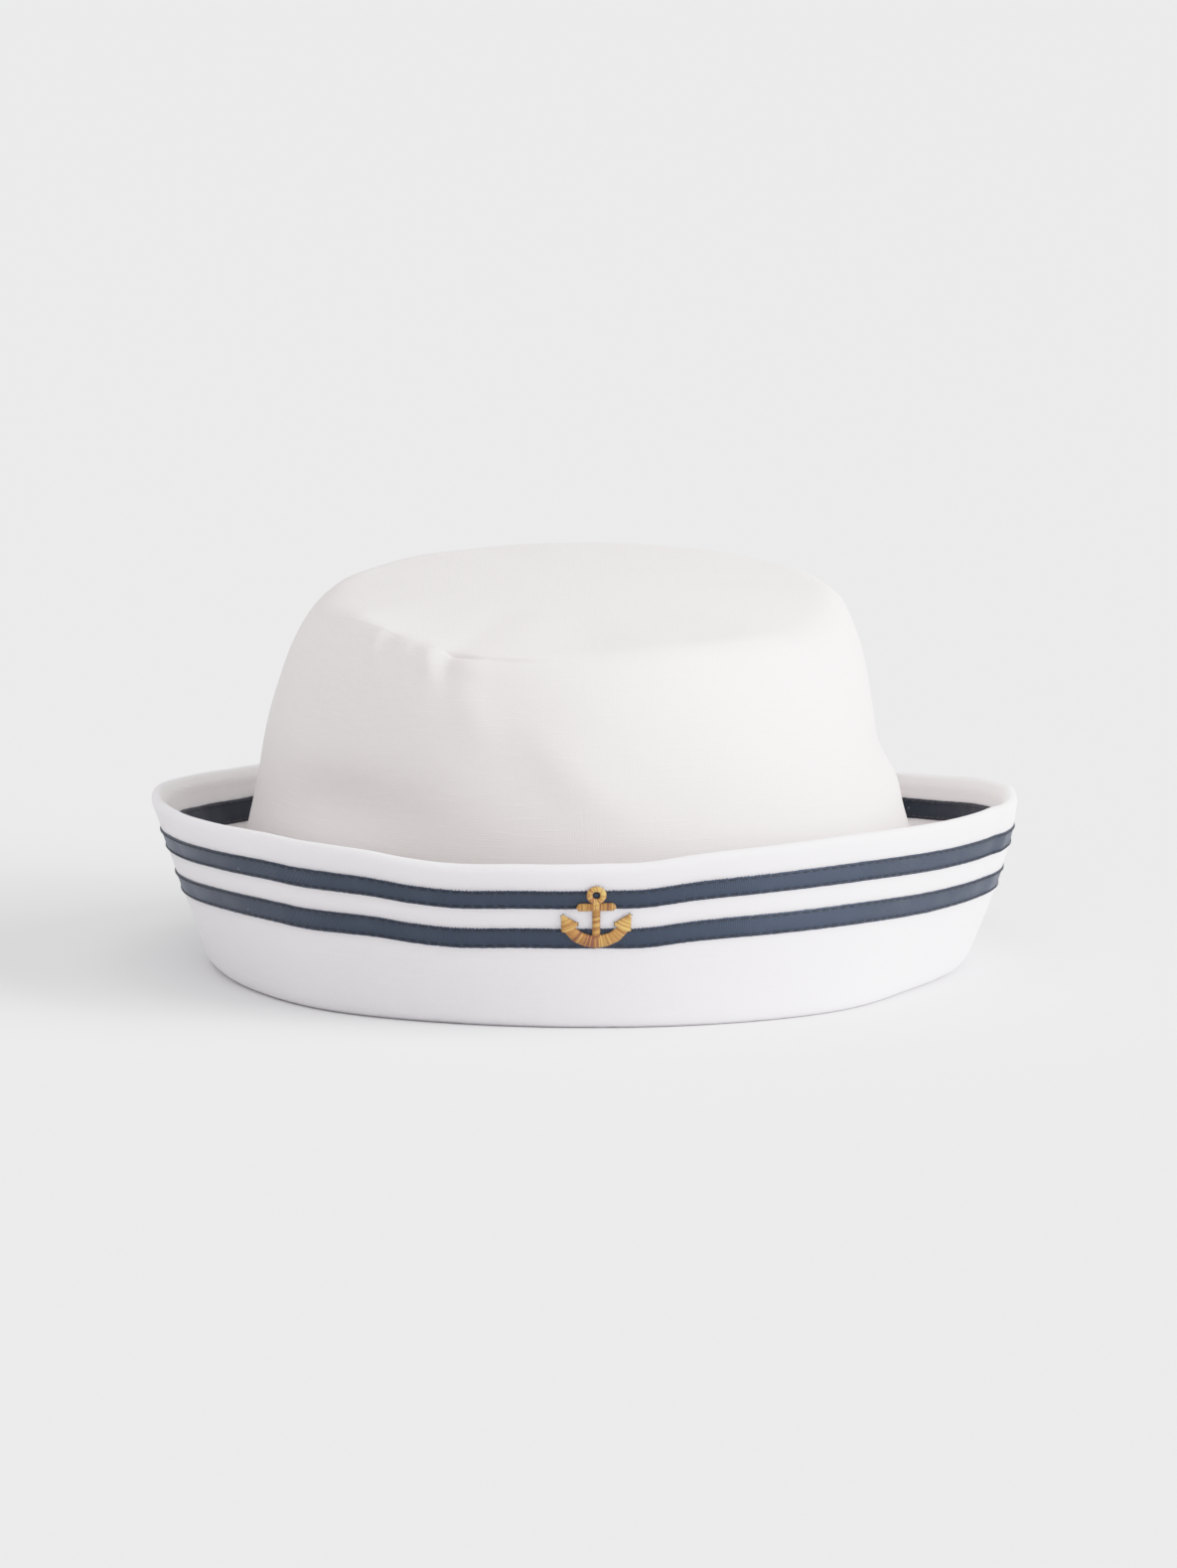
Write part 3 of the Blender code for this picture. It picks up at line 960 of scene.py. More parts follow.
class ShaderGroups:
    """Node groups that several finishes share, each built once."""

    @staticmethod
    def start(name: str, place: str, numbers: dict[str, float], outputs: tuple[str, ...]) -> tuple:
        """Make an empty group with its sockets.

        Args:
            name: Name of the group.
            place: Name of the vector input.
            numbers: Default value by name of each number input.
            outputs: Names of the outputs, which are all numbers.

        Returns:
            The group's bench, its inputs' sockets and its output node.
        """
        group = bpy.data.node_groups.new(name, "ShaderNodeTree")
        group.interface.new_socket(place, in_out="INPUT", socket_type="NodeSocketVector")
        for key, value in numbers.items():
            socket = group.interface.new_socket(key, in_out="INPUT", socket_type="NodeSocketFloat")
            socket.default_value = value
        for key in outputs:
            group.interface.new_socket(key, in_out="OUTPUT", socket_type="NodeSocketFloat")
        bench = NodeBench(group)
        return bench, bench.add("NodeGroupInput").outputs, bench.add("NodeGroupOutput")

    @classmethod
    @cache
    def plain_weave(cls) -> bpy.types.NodeTree:
        """Over and under threads with thick slubs, on cloth coordinates in metres.

        Returns:
            A group with the outputs Height, Slub and Gap, each from 0 to 1.
        """
        numbers = {
            "Threads per Metre": 2200.0, "Slub Length": 0.012, "Slub Width": 0.0007, "Slub Amount": 0.5,
        }
        outputs = ("Height", "Slub", "Gap")
        bench, given, made = cls.start("plain_weave", "Cloth", numbers, outputs)
        drift_scale, drift_reach = 260.0, 0.0009
        rise_limits = ((-0.15, 0.25), (0.15, -0.25))    # where the warp and the weft come up
        upright_share, thread_share = 0.45, 0.5
        places = bench.split(given["Cloth"])
        drift = bench.math("SUBTRACT", bench.noise(given["Cloth"], drift_scale, 1.0), 0.5)
        drift = bench.times(drift, drift_reach)
        turns = bench.times(given["Threads per Metre"], math.pi)
        yarns = [
            bench.math("SINE", bench.times(bench.math("ADD", places[k], drift), turns)) for k in (0, 1)
        ]
        crossing = bench.times(*yarns)
        threads = bench.math("MAXIMUM", *(
            bench.times(bench.math("ABSOLUTE", yarn), bench.step(crossing, *limits))
            for yarn, limits in zip(yarns, rise_limits)
        ))
        slubs = []
        for along, across, seed in ((0, 1, 3.0), (1, 0, 8.0)):
            long_way = bench.math("DIVIDE", places[along], given["Slub Length"])
            short_way = bench.math("DIVIDE", places[across], given["Slub Width"])
            streaks = bench.noise(bench.combine(long_way, short_way, seed), 1.0, 1.5, 0.55)
            slubs.append(bench.step(streaks, 0.52, 0.74))
        slub = bench.math("MAXIMUM", slubs[0], bench.times(slubs[1], upright_share))
        lift = bench.times(slub, given["Slub Amount"])
        height = bench.math("ADD", bench.times(threads, thread_share), lift)
        bench.dress(made, {"Height": height, "Slub": slub, "Gap": bench.step(threads, 0.42, 0.10)})
        return bench.tree

    @classmethod
    @cache
    def lint(cls) -> bpy.types.NodeTree:
        """Tiny specks of lint, and a broad unevenness of tone.

        Returns:
            A group with the outputs Specks and Tone, each from 0 to 1.
        """
        numbers = {"Speck Scale": 900.0, "Speck Size": 0.10, "Speck Share": 0.05, "Tone Scale": 40.0}
        bench, given, made = cls.start("lint_and_tone", "Place", numbers, ("Specks", "Tone"))
        spread = {"Vector": given["Place"], "Scale": given["Speck Scale"]}
        cells = bench.add("ShaderNodeTexVoronoi", spread).outputs
        near = bench.math("LESS_THAN", cells["Distance"], given["Speck Size"])
        pick = bench.add("ShaderNodeSeparateColor", {0: cells["Color"]}).outputs[0]
        chosen = bench.math("LESS_THAN", pick, given["Speck Share"])
        tone = bench.noise(given["Place"], given["Tone Scale"], 3.0)
        bench.dress(made, {"Specks": bench.times(near, chosen), "Tone": tone})
        return bench.tree


class Finish:
    """Base of the finishes: starts a material and gives its bench and its shader."""

    @staticmethod
    def start(name: str) -> tuple[bpy.types.Material, NodeBench, bpy.types.Node]:
        """Make a material with a bare Principled BSDF.

        Args:
            name: Name of the material.

        Returns:
            The material, its bench and its shader node.
        """
        material = bpy.data.materials.new(name)
        material.use_nodes = True
        shader = material.node_tree.nodes["Principled BSDF"]
        return material, NodeBench(material.node_tree), shader


@dataclass(frozen=True)
class ClothFinish(Finish):
    """White slub cloth in a plain weave."""

    name: str
    colour: Colour
    # painted shade: darker colour in the gaps between threads
    gap_shade_colour: Colour
    threads_per_metre: float = 2000.0
    slub_length: float = 0.014
    slub_width: float = 0.0008
    slub_amount: float = 0.55
    slub_tint: float = 1.025        # of the colour, where a thread is thick
    thin_tint: float = 0.975        # of the colour, where the cloth is thin
    roughness: float = 0.92
    gloss: float = 0.25
    sheen: float = 0.10
    bump: float = 0.00007
    through_light: float = 0.0      # share of light that scatters inside the cloth
    through_depth: float = 0.0012
    through_tint: Colour = (1.0, 0.97, 0.94)
    # painted shade: a warmer tint on the face that looks towards the middle, which lies in shade
    inner_shade_tint: Colour = (1.0, 1.0, 1.0)    # on the face that looks towards the middle

    def material(self) -> bpy.types.Material:
        """Build the cloth's material.

        Returns:
            The new material.
        """
        material, bench, shader = self.start(self.name)
        settings = {
            "Cloth": bench.uv("cloth"),
            "Threads per Metre": self.threads_per_metre,
            "Slub Length": self.slub_length,
            "Slub Width": self.slub_width,
            "Slub Amount": self.slub_amount,
        }
        weave = bench.add("ShaderNodeGroup", settings, node_tree=ShaderGroups.plain_weave()).outputs
        place = bench.add("ShaderNodeTexCoord").outputs["Object"]
        settings = {
            "Place": place, "Speck Scale": 500.0, "Speck Size": 0.12,
            "Speck Share": 0.03, "Tone Scale": 30.0,
        }
        lint = bench.add("ShaderNodeGroup", settings, node_tree=ShaderGroups.lint()).outputs
        gap_shade_share, slub_share, tone_share = 0.35, 0.7, 0.35
        # Painted shade: the gaps between threads are darkened towards the gap colour.
        colour = bench.blend(bench.times(weave["Gap"], gap_shade_share), self.colour, self.gap_shade_colour)
        thick = tuple(min(1.0, part * self.slub_tint) for part in self.colour)
        colour = bench.blend(bench.times(weave["Slub"], slub_share), colour, thick)
        thin = tuple(part * self.thin_tint for part in self.colour)
        colour = bench.blend(bench.step(lint["Tone"], 0.3, 0.7, 0.0, tone_share), colour, thin)
        # Painted shade: faces that look towards the middle take the warmer inner tint.
        facing = bench.add("ShaderNodeTexCoord").outputs["Normal"]
        outward = bench.add("ShaderNodeVectorMath", {0: facing, 1: place}, operation="DOT_PRODUCT")
        inside = bench.step(outward.outputs["Value"], 0.01, -0.02)
        settings = {
            "Base Color": bench.blend(inside, colour, self.inner_shade_tint, "MULTIPLY"),
            "Roughness": self.roughness,
            "Specular IOR Level": self.gloss,
            "Sheen Weight": self.sheen,
            "Sheen Roughness": 0.6,
            "Normal": bench.bump(weave["Height"], self.bump),
        }
        if self.through_light > 0:
            settings["Subsurface Weight"] = self.through_light
            settings["Subsurface Scale"] = self.through_depth
            settings["Subsurface Radius"] = self.through_tint
        bench.dress(shader, settings)
        return material


@dataclass(frozen=True)
class RibbonFinish(Finish):
    """Navy woven ribbon with fine crosswise ribs and a soft gloss."""

    name: str = "navy_ribbon_weave"
    colour: Colour = (0.010, 0.0145, 0.0245)
    rib_colour: Colour = (0.006, 0.0085, 0.0155)
    lint_colour: Colour = (0.55, 0.58, 0.62)
    ribs_per_metre: float = 2400.0
    roughness: float = 0.45
    gloss: float = 0.95
    gloss_colour: Colour = (0.58, 0.72, 1.0)
    stretch: float = 0.8            # how far the gloss is drawn out along the ribs
    sheen: float = 0.15
    sheen_colour: Colour = (0.60, 0.70, 1.0)
    bump: float = 0.00006

    def material(self) -> bpy.types.Material:
        """Build the ribbon's material.

        Returns:
            The new material.
        """
        material, bench, shader = self.start(self.name)
        cloth = bench.uv("cloth")
        waver_scale, waver_reach, rib_share = 500.0, 0.0004, 0.5
        waver = bench.times(bench.noise(cloth, waver_scale), waver_reach)
        along = bench.math("ADD", bench.split(cloth)[0], waver)
        ribs = bench.math("SINE", bench.times(along, self.ribs_per_metre * 2 * math.pi))
        ribs = bench.step(ribs, -1.0, 1.0)
        settings = {
            "Place": cloth, "Speck Scale": 420.0, "Speck Size": 0.055,
            "Speck Share": 0.10, "Tone Scale": 130.0,
        }
        lint = bench.add("ShaderNodeGroup", settings, node_tree=ShaderGroups.lint()).outputs
        colour = bench.blend(bench.times(ribs, rib_share), self.colour, self.rib_colour)
        faded = tuple(part * 1.5 + 0.004 for part in self.colour)
        colour = bench.blend(bench.step(lint["Tone"], 0.45, 0.75, 0.0, 0.5), colour, faded)
        smooth, rough = self.roughness - 0.05, self.roughness + 0.08
        tangent = bench.add("ShaderNodeTangent", direction_type="UV_MAP", uv_map="cloth")
        settings = {
            "Base Color": bench.blend(lint["Specks"], colour, self.lint_colour),
            "Roughness": bench.step(lint["Tone"], 0.3, 0.7, smooth, rough),
            "Specular IOR Level": self.gloss,
            "Specular Tint": self.gloss_colour,
            "Anisotropic": self.stretch,
            "Anisotropic Rotation": 0.25,
            "Tangent": tangent.outputs[0],
            "Sheen Weight": self.sheen,
            "Sheen Roughness": 0.45,
            "Sheen Tint": self.sheen_colour,
            "Normal": bench.bump(ribs, self.bump, 0.7),
        }
        bench.dress(shader, settings)
        return material


@dataclass(frozen=True)
class ThreadFinish(Finish):
    """Twisted embroidery thread; its colour follows each stitch's own shade."""

    name: str
    dark: Colour
    middle: Colour
    light: Colour
    roughness: float = 0.42
    sheen: float = 0.25
    bump: float = 0.00003
    twist: float = 14.0             # turns along one stitch

    def material(self) -> bpy.types.Material:
        """Build the thread's material.

        Returns:
            The new material.
        """
        material, bench, shader = self.start(self.name)
        fibre_scale, fibre_share = 5200.0, 0.35
        shade = bench.add("ShaderNodeAttribute", attribute_name="shade").outputs["Fac"]
        fibre = bench.noise(bench.add("ShaderNodeTexCoord").outputs["Object"], fibre_scale)
        uneven = bench.times(bench.math("SUBTRACT", fibre, 0.5), fibre_share)
        shade = bench.math("ADD", shade, uneven)
        low = bench.blend(bench.step(shade, 0.0, 0.5), self.dark, self.middle)
        parts = bench.split(bench.uv("twist"))
        turn = bench.math("ADD", bench.times(parts[0], self.twist), parts[1])
        ply = bench.math("SINE", bench.times(turn, 4 * math.pi))
        settings = {
            "Base Color": bench.blend(bench.step(shade, 0.5, 1.0), low, self.light),
            "Roughness": self.roughness,
            "Sheen Weight": self.sheen,
            "Sheen Roughness": 0.35,
            "Normal": bench.bump(ply, self.bump, 0.6),
        }
        bench.dress(shader, settings)
        return material


@dataclass(frozen=True)
class StudioFinish(Finish):
    """Plain pale paper that the cap stands on."""

    name: str = "pale_studio_paper"
    colour: Colour = (0.912, 0.912, 0.915)
    roughness: float = 0.9
    gloss: float = 0.1

    def material(self) -> bpy.types.Material:
        """Build the paper's material.

        Returns:
            The new material.
        """
        material, bench, shader = self.start(self.name)
        settings = {"Base Color": self.colour, "Roughness": self.roughness, "Specular IOR Level": self.gloss}
        bench.dress(shader, settings)
        return material


# ----------------------------------------------------------- geometry nodes
class ThreadTrees:
    """Geometry Nodes trees that lay thread stitches."""

    @staticmethod
    def start(name: str, numbers: dict[str, float]) -> tuple:
        """Make an empty tree with its sockets.

        Args:
            name: Name of the tree.
            numbers: Default value in metres by input name.

        Returns:
            The tree's bench, its inputs' sockets and its output node.
        """
        tree = bpy.data.node_groups.new(name, "GeometryNodeTree")
        kinds = [("Geometry", "Geometry"), *((key, "Float") for key in numbers)]
        for key, kind in (*kinds, ("Seed", "Int"), ("Material", "Material")):
            socket = tree.interface.new_socket(key, in_out="INPUT", socket_type=f"NodeSocket{kind}")
            if key in numbers:
                socket.default_value = numbers[key]
        tree.interface.new_socket("Geometry", in_out="OUTPUT", socket_type="NodeSocketGeometry")
        bench = NodeBench(tree)
        return bench, bench.add("NodeGroupInput").outputs, bench.add("NodeGroupOutput")

    @staticmethod
    def thread(bench: NodeBench, length: object, given: bpy.types.NodeOutputs, steps: int) -> Socket:
        """One arched stitch along X, as a tube with a UV map named twist.

        Args:
            bench: Bench of the tree.
            length: Length from end to end.
            given: Inputs' sockets of the tree, with the arch and the radius.
            steps: Segments along the stitch.

        Returns:
            The stitch's geometry socket.
        """
        handle_share, crest_share, ring_steps = 0.32, 1.34, 6
        half, inner = (bench.times(length, share) for share in (0.5, handle_share))
        crest = bench.times(given["Arch"], crest_share)
        shape = {
            "Resolution": steps,
            "Start": bench.combine(bench.times(half, -1.0), 0.0),
            "Start Handle": bench.combine(bench.times(inner, -1.0), 0.0, crest),
            "End Handle": bench.combine(inner, 0.0, crest),
            "End": bench.combine(half, 0.0),
        }
        line = bench.add("GeometryNodeCurvePrimitiveBezierSegment", shape)
        shape = {"Resolution": ring_steps, "Radius": given["Radius"]}
        ring = bench.add("GeometryNodeCurvePrimitiveCircle", shape)
        marked = []
        for node, key in ((line, "along"), (ring, "around")):
            factor = bench.add("GeometryNodeSplineParameter").outputs["Factor"]
            mark = {"Geometry": node.outputs["Curve"], "Name": key, "Value": factor}
            keep = bench.add("GeometryNodeStoreNamedAttribute", mark, data_type="FLOAT", domain="POINT")
            marked.append(keep.outputs["Geometry"])
        faces = {"Curve": marked[0], "Profile Curve": marked[1], "Fill Caps": True}
        tube = bench.add("GeometryNodeCurveToMesh", faces).outputs["Mesh"]
        places = bench.combine(bench.named("along"), bench.named("around"))
        mark = {"Geometry": tube, "Name": "twist", "Value": places}
        twist = bench.add("GeometryNodeStoreNamedAttribute", mark, data_type="FLOAT2", domain="CORNER")
        return twist.outputs["Geometry"]

    @staticmethod
    def lay(bench: NodeBench, given: bpy.types.NodeOutputs, made: bpy.types.Node, points: Socket,
            stitch: Socket, run: Socket, size: Socket) -> bpy.types.NodeTree:
        """Put a stitch on each point, as plain geometry with its material.

        Args:
            bench: Bench of the tree.
            given: Inputs' sockets of the tree.
            made: Output node of the tree.
            points: Where the stitches lie.
            stitch: Geometry of one stitch along X.
            run: Direction of each stitch.
            size: Share of the length of each stitch.

        Returns:
            The finished tree.
        """
        axes = {"Primary Axis": run, "Secondary Axis": bench.named("lift", "FLOAT_VECTOR")}
        turn = bench.add("FunctionNodeAxesToRotation", axes, primary_axis="X", secondary_axis="Z")
        inputs = {
            "Points": points,
            "Instance": stitch,
            "Rotation": turn.outputs[0],
            "Scale": bench.combine(size, 1.0, 1.0),
        }
        laid = bench.add("GeometryNodeInstanceOnPoints", inputs).outputs["Instances"]
        real = bench.add("GeometryNodeRealizeInstances", {"Geometry": laid}).outputs["Geometry"]
        smooth = bench.add("GeometryNodeSetShadeSmooth", {"Geometry": real}).outputs["Geometry"]
        inputs = {"Geometry": smooth, "Material": given["Material"]}
        dressed = bench.add("GeometryNodeSetMaterial", inputs).outputs["Geometry"]
        bench.dress(made, {"Geometry": dressed})
        return bench.tree

    @classmethod
    @cache
    def running_stitch(cls) -> bpy.types.NodeTree:
        """Even stitches along lines that carry a vector attribute named lift.

        Returns:
            The tree.
        """
        numbers = {"Pitch": 0.0025, "Length": 0.0019, "Arch": 0.0003, "Radius": 0.00015, "Uneven": 0.08}
        bench, given, made = cls.start("running_stitch", numbers)
        line = bench.add("GeometryNodeMeshToCurve", {"Mesh": given["Geometry"]}).outputs["Curve"]
        spacing = {"Curve": line, "Length": given["Pitch"]}
        spots = bench.add("GeometryNodeCurveToPoints", spacing, mode="LENGTH").outputs
        stitch = cls.thread(bench, given["Length"], given, 6)
        low, high = (bench.math(name, 1.0, given["Uneven"]) for name in ("SUBTRACT", "ADD"))
        limits = {2: low, 3: high, "Seed": given["Seed"]}       # 2 and 3: a number's limits
        size = bench.add("FunctionNodeRandomValue", limits, data_type="FLOAT").outputs[1]
        return cls.lay(bench, given, made, spots["Points"], stitch, spots["Tangent"], size)

    @classmethod
    @cache
    def satin_stitch(cls) -> bpy.types.NodeTree:
        """Threads on points that carry their direction, lift and reach as attributes.

        Returns:
            The tree.
        """
        bench, given, made = cls.start("satin_stitch", {"Arch": 0.0003, "Radius": 0.00016})
        stitch = cls.thread(bench, 1.0, given, 7)
        spots = bench.add("GeometryNodeMeshToPoints", {"Mesh": given["Geometry"]}).outputs["Points"]
        run = bench.named("run", "FLOAT_VECTOR")
        return cls.lay(bench, given, made, spots, stitch, run, bench.named("reach"))

    @staticmethod
    def bake(source: bpy.types.Object, tree: bpy.types.NodeTree, values: dict[str, object]) -> bpy.types.Mesh:
        """Run a tree on an object and keep the plain mesh that it makes.

        Args:
            source: Object of points or lines, removed afterwards.
            tree: The tree to run.
            values: Value of each named input.

        Returns:
            The new mesh.
        """
        modifier = source.modifiers.new(tree.name, "NODES")
        modifier.node_group = tree
        for item in tree.interface.items_tree:
            if item.item_type == "SOCKET" and item.in_out == "INPUT" and item.name in values:
                modifier[item.identifier] = values[item.name]
        depsgraph = bpy.context.evaluated_depsgraph_get()
        mesh = bpy.data.meshes.new_from_object(source.evaluated_get(depsgraph))
        bpy.data.objects.remove(source, do_unlink=True)
        return mesh


# ---------------------------------------------------------- sub-assemblies
@dataclass(frozen=True)
class Crown:
    """The crown's side and its tip, sewn together at the shoulder."""

    form: CrownForm = CrownForm()
    spokes: int = 384
    allowance: float = 0.5          # extra thickness of the seam inside
    allowance_width: float = 6.0
    allowance_edge: int = 4         # how sharply the extra thickness ends
    finish: ClothFinish = ClothFinish(
        "crown_slub_cloth", (0.878, 0.822, 0.811), (0.68, 0.63, 0.615), slub_amount=0.42, bump=0.00006
    )

    def walls(self, side_rows: Array, tip_rows: Array) -> tuple[Array, Array, Array]:
        """Outer and inner faces of the cloth.

        Args:
            side_rows: Shares of the side's length, up to 1 at the seam.
            tip_rows: Shares of the tip's length, from 0 at the seam.

        Returns:
            The azimuths, and the outer and inner points shaped (azimuths, rows, 2).
        """
        azimuth = azimuths(self.spokes)
        outer, outward, places = self.form.skin(azimuth, side_rows, tip_rows)
        extra = self.allowance * np.exp(-((places / self.allowance_width) ** self.allowance_edge))
        inner = outer - outward * (self.form.wall + extra)[..., None]
        return azimuth, outer, inner

    def build_side(self, material: bpy.types.Material) -> None:
        """Build the side, a closed wall from the brim seam to the shoulder seam.

        Args:
            material: Material of the piece.
        """
        wide, close, last = np.linspace(0, 0.84, 46), np.linspace(0.85, 0.996, 40), [0.9985, 1.0]
        rows = np.concatenate([wide, close, last])
        azimuth, outer, inner = self.walls(rows, np.array([]))
        sections = np.concatenate([outer, inner[:, ::-1]], axis=1)
        round_length = 2 * math.pi * self.form.base_radius
        mesh = ring_mesh("crown_side_cloth", sections, azimuth, round_length)
        add_piece("crown_side_cloth", mesh, material, ("crown_side",))

    def build_tip(self, material: bpy.types.Material) -> None:
        """Build the tip, a closed disc of cloth inside the shoulder seam.

        Args:
            material: Material of the piece.
        """
        first, close, wide = [0.0, 0.002], np.linspace(0.008, 0.16, 26), np.linspace(0.19, 1.0, 22)
        rows = np.concatenate([first, close, wide])
        azimuth, outer, inner = self.walls(np.array([]), rows)
        profiles = np.concatenate([outer[:, ::-1], inner], axis=1)
        mesh = disc_mesh("crown_tip_cloth", profiles, azimuth)
        add_piece("crown_tip_cloth", mesh, material, ("crown_tip",))

    def build(self) -> None:
        """Build and dress both pieces."""
        material = self.finish.material()
        self.build_side(material)
        self.build_tip(material)


@dataclass(frozen=True)
class Brim:
    """The turned-up brim, one band of two layers."""

    form: BrimForm = BrimForm()
    spokes: int = 432
    round_radius: float = 90.0      # mean radius, for the cloth's coordinates
    finish: ClothFinish = ClothFinish(
        "brim_slub_cloth", (0.811, 0.780, 0.822), (0.64, 0.61, 0.645), threads_per_metre=2100.0,
        # the inner tint paints a warm shade on the brim's inner face
        through_light=1.0, through_depth=0.0035, inner_shade_tint=(1.0, 1.0, 0.955),
    )

    def build(self) -> None:
        """Build and dress the band."""
        azimuth = azimuths(self.spokes)
        sections = self.form.section(azimuth)
        mesh = ring_mesh("brim_cloth_band", sections, azimuth, 2 * math.pi * self.round_radius)
        add_piece("brim_cloth_band", mesh, self.finish.material(), ("brim",))


@dataclass(frozen=True)
class Ribbons:
    """Four navy ribbons, two sewn to each face of the brim."""

    form: BrimForm = BrimForm()
    widths: tuple[float, float] = (4.7, 5.1)    # of the upper and the lower ribbon
    thickness: float = 0.11
    below_rim: float = 6.1
    inner_sag: float = 1.3          # how much lower the inner ribbons lie on the left
    sag_azimuth: float = 248.0
    sag_spread: float = 32.0
    sag_stretch: float = 0.5        # share of the sag by which those ribbons widen
    pitch: float = 9.8
    drawn_up: float = 0.075         # share by which they crowd towards the rim in front
    drawn_azimuth: float = 352.0
    drawn_spread: float = 38.0
    edge_round: float = 0.14
    spokes: int = 1440
    tooth: float = 0.17             # unevenness of the woven upper edge
    least_tooth: float = 0.2        # share of it that every tooth has
    overlap: float = 1.6            # half the lap at the back, in degrees
    lap_rise: float = 0.28
    lap_edge: float = 4.0           # how sharply the lap ends
    sunk: float = -0.15             # where the ribbon's edges end, inside the cloth
    crest: float = 0.03             # how much the ribbon's middle stands above its edges
    crest_shares: tuple[float, float] = (0.35, 0.65)
    edge_share: float = 0.55        # of the thickness, where the edges turn
    lower_tooth: float = 0.18       # unevenness of the lower edge, as a share of that
    stitch_inset: float = 0.55
    line_points: int = 720
    round_radius: float = 95.0      # mean radius, for the ribbons' coordinates
    first_seed: int = 21
    finish: RibbonFinish = RibbonFinish()
    # Painted shade: a copy of the navy ribbon with much less gloss and sheen, so the inner ribbons look as
    # dark as in shade.
    shaded_inner_finish: RibbonFinish = RibbonFinish(
        "shaded_ribbon_weave", (0.012, 0.014, 0.022), (0.008, 0.010, 0.016), gloss=0.35, sheen=0.05
    )
    thread: ThreadFinish = ThreadFinish(
        "navy_sewing_thread", (0.012, 0.015, 0.026), (0.028, 0.034, 0.052), (0.06, 0.07, 0.10), 0.6
    )

    def place(self, azimuth: Array, below: Array, lift: Array, face: BrimFace) -> tuple[Array, Array]:
        """Points and normals of the brim's face, lifted off the cloth.

        Args:
            azimuth: Places in degrees.
            below: Cloth lengths below the rim.
            lift: Heights above the cloth.
            face: The brim's face.

        Returns:
            Points shaped (places, 2) and unit normals pointing off that face.
        """
        points, outward = self.form.place(azimuth, below)
        if face is BrimFace.INNER:
            points = points - outward * self.form.wall
        outward = outward * face.value
        return points + outward * np.broadcast_to(lift, azimuth.shape)[:, None], outward

    def lap(self, azimuth: Array) -> Array:
        """Rise of the upper layer where the ribbon's ends lap at the back."""
        away = np.abs(off_azimuth(azimuth, self.form.back_seam))
        return self.lap_rise * (1 - np.tanh((away - self.overlap) * self.lap_edge)) / 2

    def edges(self, azimuth: Array, row: int, face: BrimFace) -> tuple[Array, Array]:
        """Cloth lengths from the rim to a ribbon's upper and lower edges.

        Args:
            azimuth: Places in degrees.
            row: 0 for the upper ribbon, 1 for the lower one.
            face: The brim's face.

        Returns:
            Lengths in millimetres to each edge.
        """
        sag = self.inner_sag if face is BrimFace.INNER else 0.0
        sag = sag * bell(off_azimuth(azimuth, self.sag_azimuth), self.sag_spread)
        near = bell(off_azimuth(azimuth, self.drawn_azimuth), self.drawn_spread)
        scale = 1 - self.drawn_up * near
        upper = (self.below_rim + self.pitch * row) * scale + sag
        return upper, upper + self.widths[row] * scale + sag * self.sag_stretch

    def sections(self, row: int, face: BrimFace, seed: int) -> tuple[Array, Array]:
        """Closed section of a ribbon at each azimuth.

        Args:
            row: 0 for the upper ribbon, 1 for the lower one.
            face: The brim's face.
            seed: Seed of the upper edge's unevenness.

        Returns:
            The azimuths, and points shaped (azimuths, points, 2).
        """
        azimuth = azimuths(self.spokes)
        draw = np.random.default_rng(seed)
        teeth = np.tile([1.0, -1.0], self.spokes // 2)
        teeth = teeth * draw.uniform(self.least_tooth, 1.0, self.spokes)
        upper, lower = self.edges(azimuth, row, face)
        upper = upper + teeth * self.tooth
        lower = lower + draw.normal(0, self.tooth * self.lower_tooth, self.spokes)
        rise = self.thickness + self.lap(azimuth)
        soft = self.edge_round
        columns = (
            (upper, self.sunk),
            (upper, rise * self.edge_share),
            (upper + soft, rise),
            *((upper + (lower - upper) * share, rise + self.crest) for share in self.crest_shares),
            (lower - soft, rise),
            (lower, rise * self.edge_share),
            (lower, self.sunk),
        )
        rows = [self.place(azimuth, below, lift, face)[0] for below, lift in columns]
        return azimuth, np.stack(rows, axis=1)

    def seam_lines(self, row: int, face: BrimFace) -> bpy.types.Object:
        """Lines that the two rows of stitches follow, as an object with their lift.

        Args:
            row: 0 for the upper ribbon, 1 for the lower one.
            face: The brim's face.

        Returns:
            The object of lines.
        """
        azimuth = azimuths(self.line_points)
        upper, lower = self.edges(azimuth, row, face)
        lift = self.thickness + self.lap(azimuth)
        loops = [
            in_space(azimuth, *self.place(azimuth, below, lift, face))
            for below in (upper + self.stitch_inset, lower - self.stitch_inset)
        ]
        return loop_lines("stitch_lines", loops)

    def build(self) -> None:
        """Build and dress the ribbons and their stitches."""
        sewn = self.thread.material()
        for face in BrimFace:
            # The inner ribbons take the painted-shade copy of the ribbon.
            woven = (self.finish if face is BrimFace.OUTER else self.shaded_inner_finish).material()
            for row, place in enumerate(("upper", "lower")):
                name = f"{face.name.lower()}_{place}_ribbon"
                seed = self.first_seed + 2 * row + (face is BrimFace.INNER)
                azimuth, sections = self.sections(row, face, seed)
                mesh = ring_mesh(f"{name}_band", sections, azimuth, 2 * math.pi * self.round_radius)
                add_piece(f"{name}_band", mesh, woven, (name,))
                values = {"Pitch": 0.0026, "Length": 0.0020, "Arch": 0.00022, "Radius": 0.00013,
                          "Uneven": 0.06, "Seed": seed, "Material": sewn}
                lines = self.seam_lines(row, face)
                mesh = ThreadTrees.bake(lines, ThreadTrees.running_stitch(), values)
                add_piece(f"{name}_stitches", mesh, sewn)


@dataclass(frozen=True)
class Rail:
    """One part of the anchor: threads run from its first edge to its second."""

    name: str
    first: tuple[tuple[float, float], ...]
    second: tuple[tuple[float, float], ...]
    # Thread colours along the part. Their grading, darker towards the shaded side, is painted shade.
    shade_start: float
    shade_end: float
    mirrored: bool = False


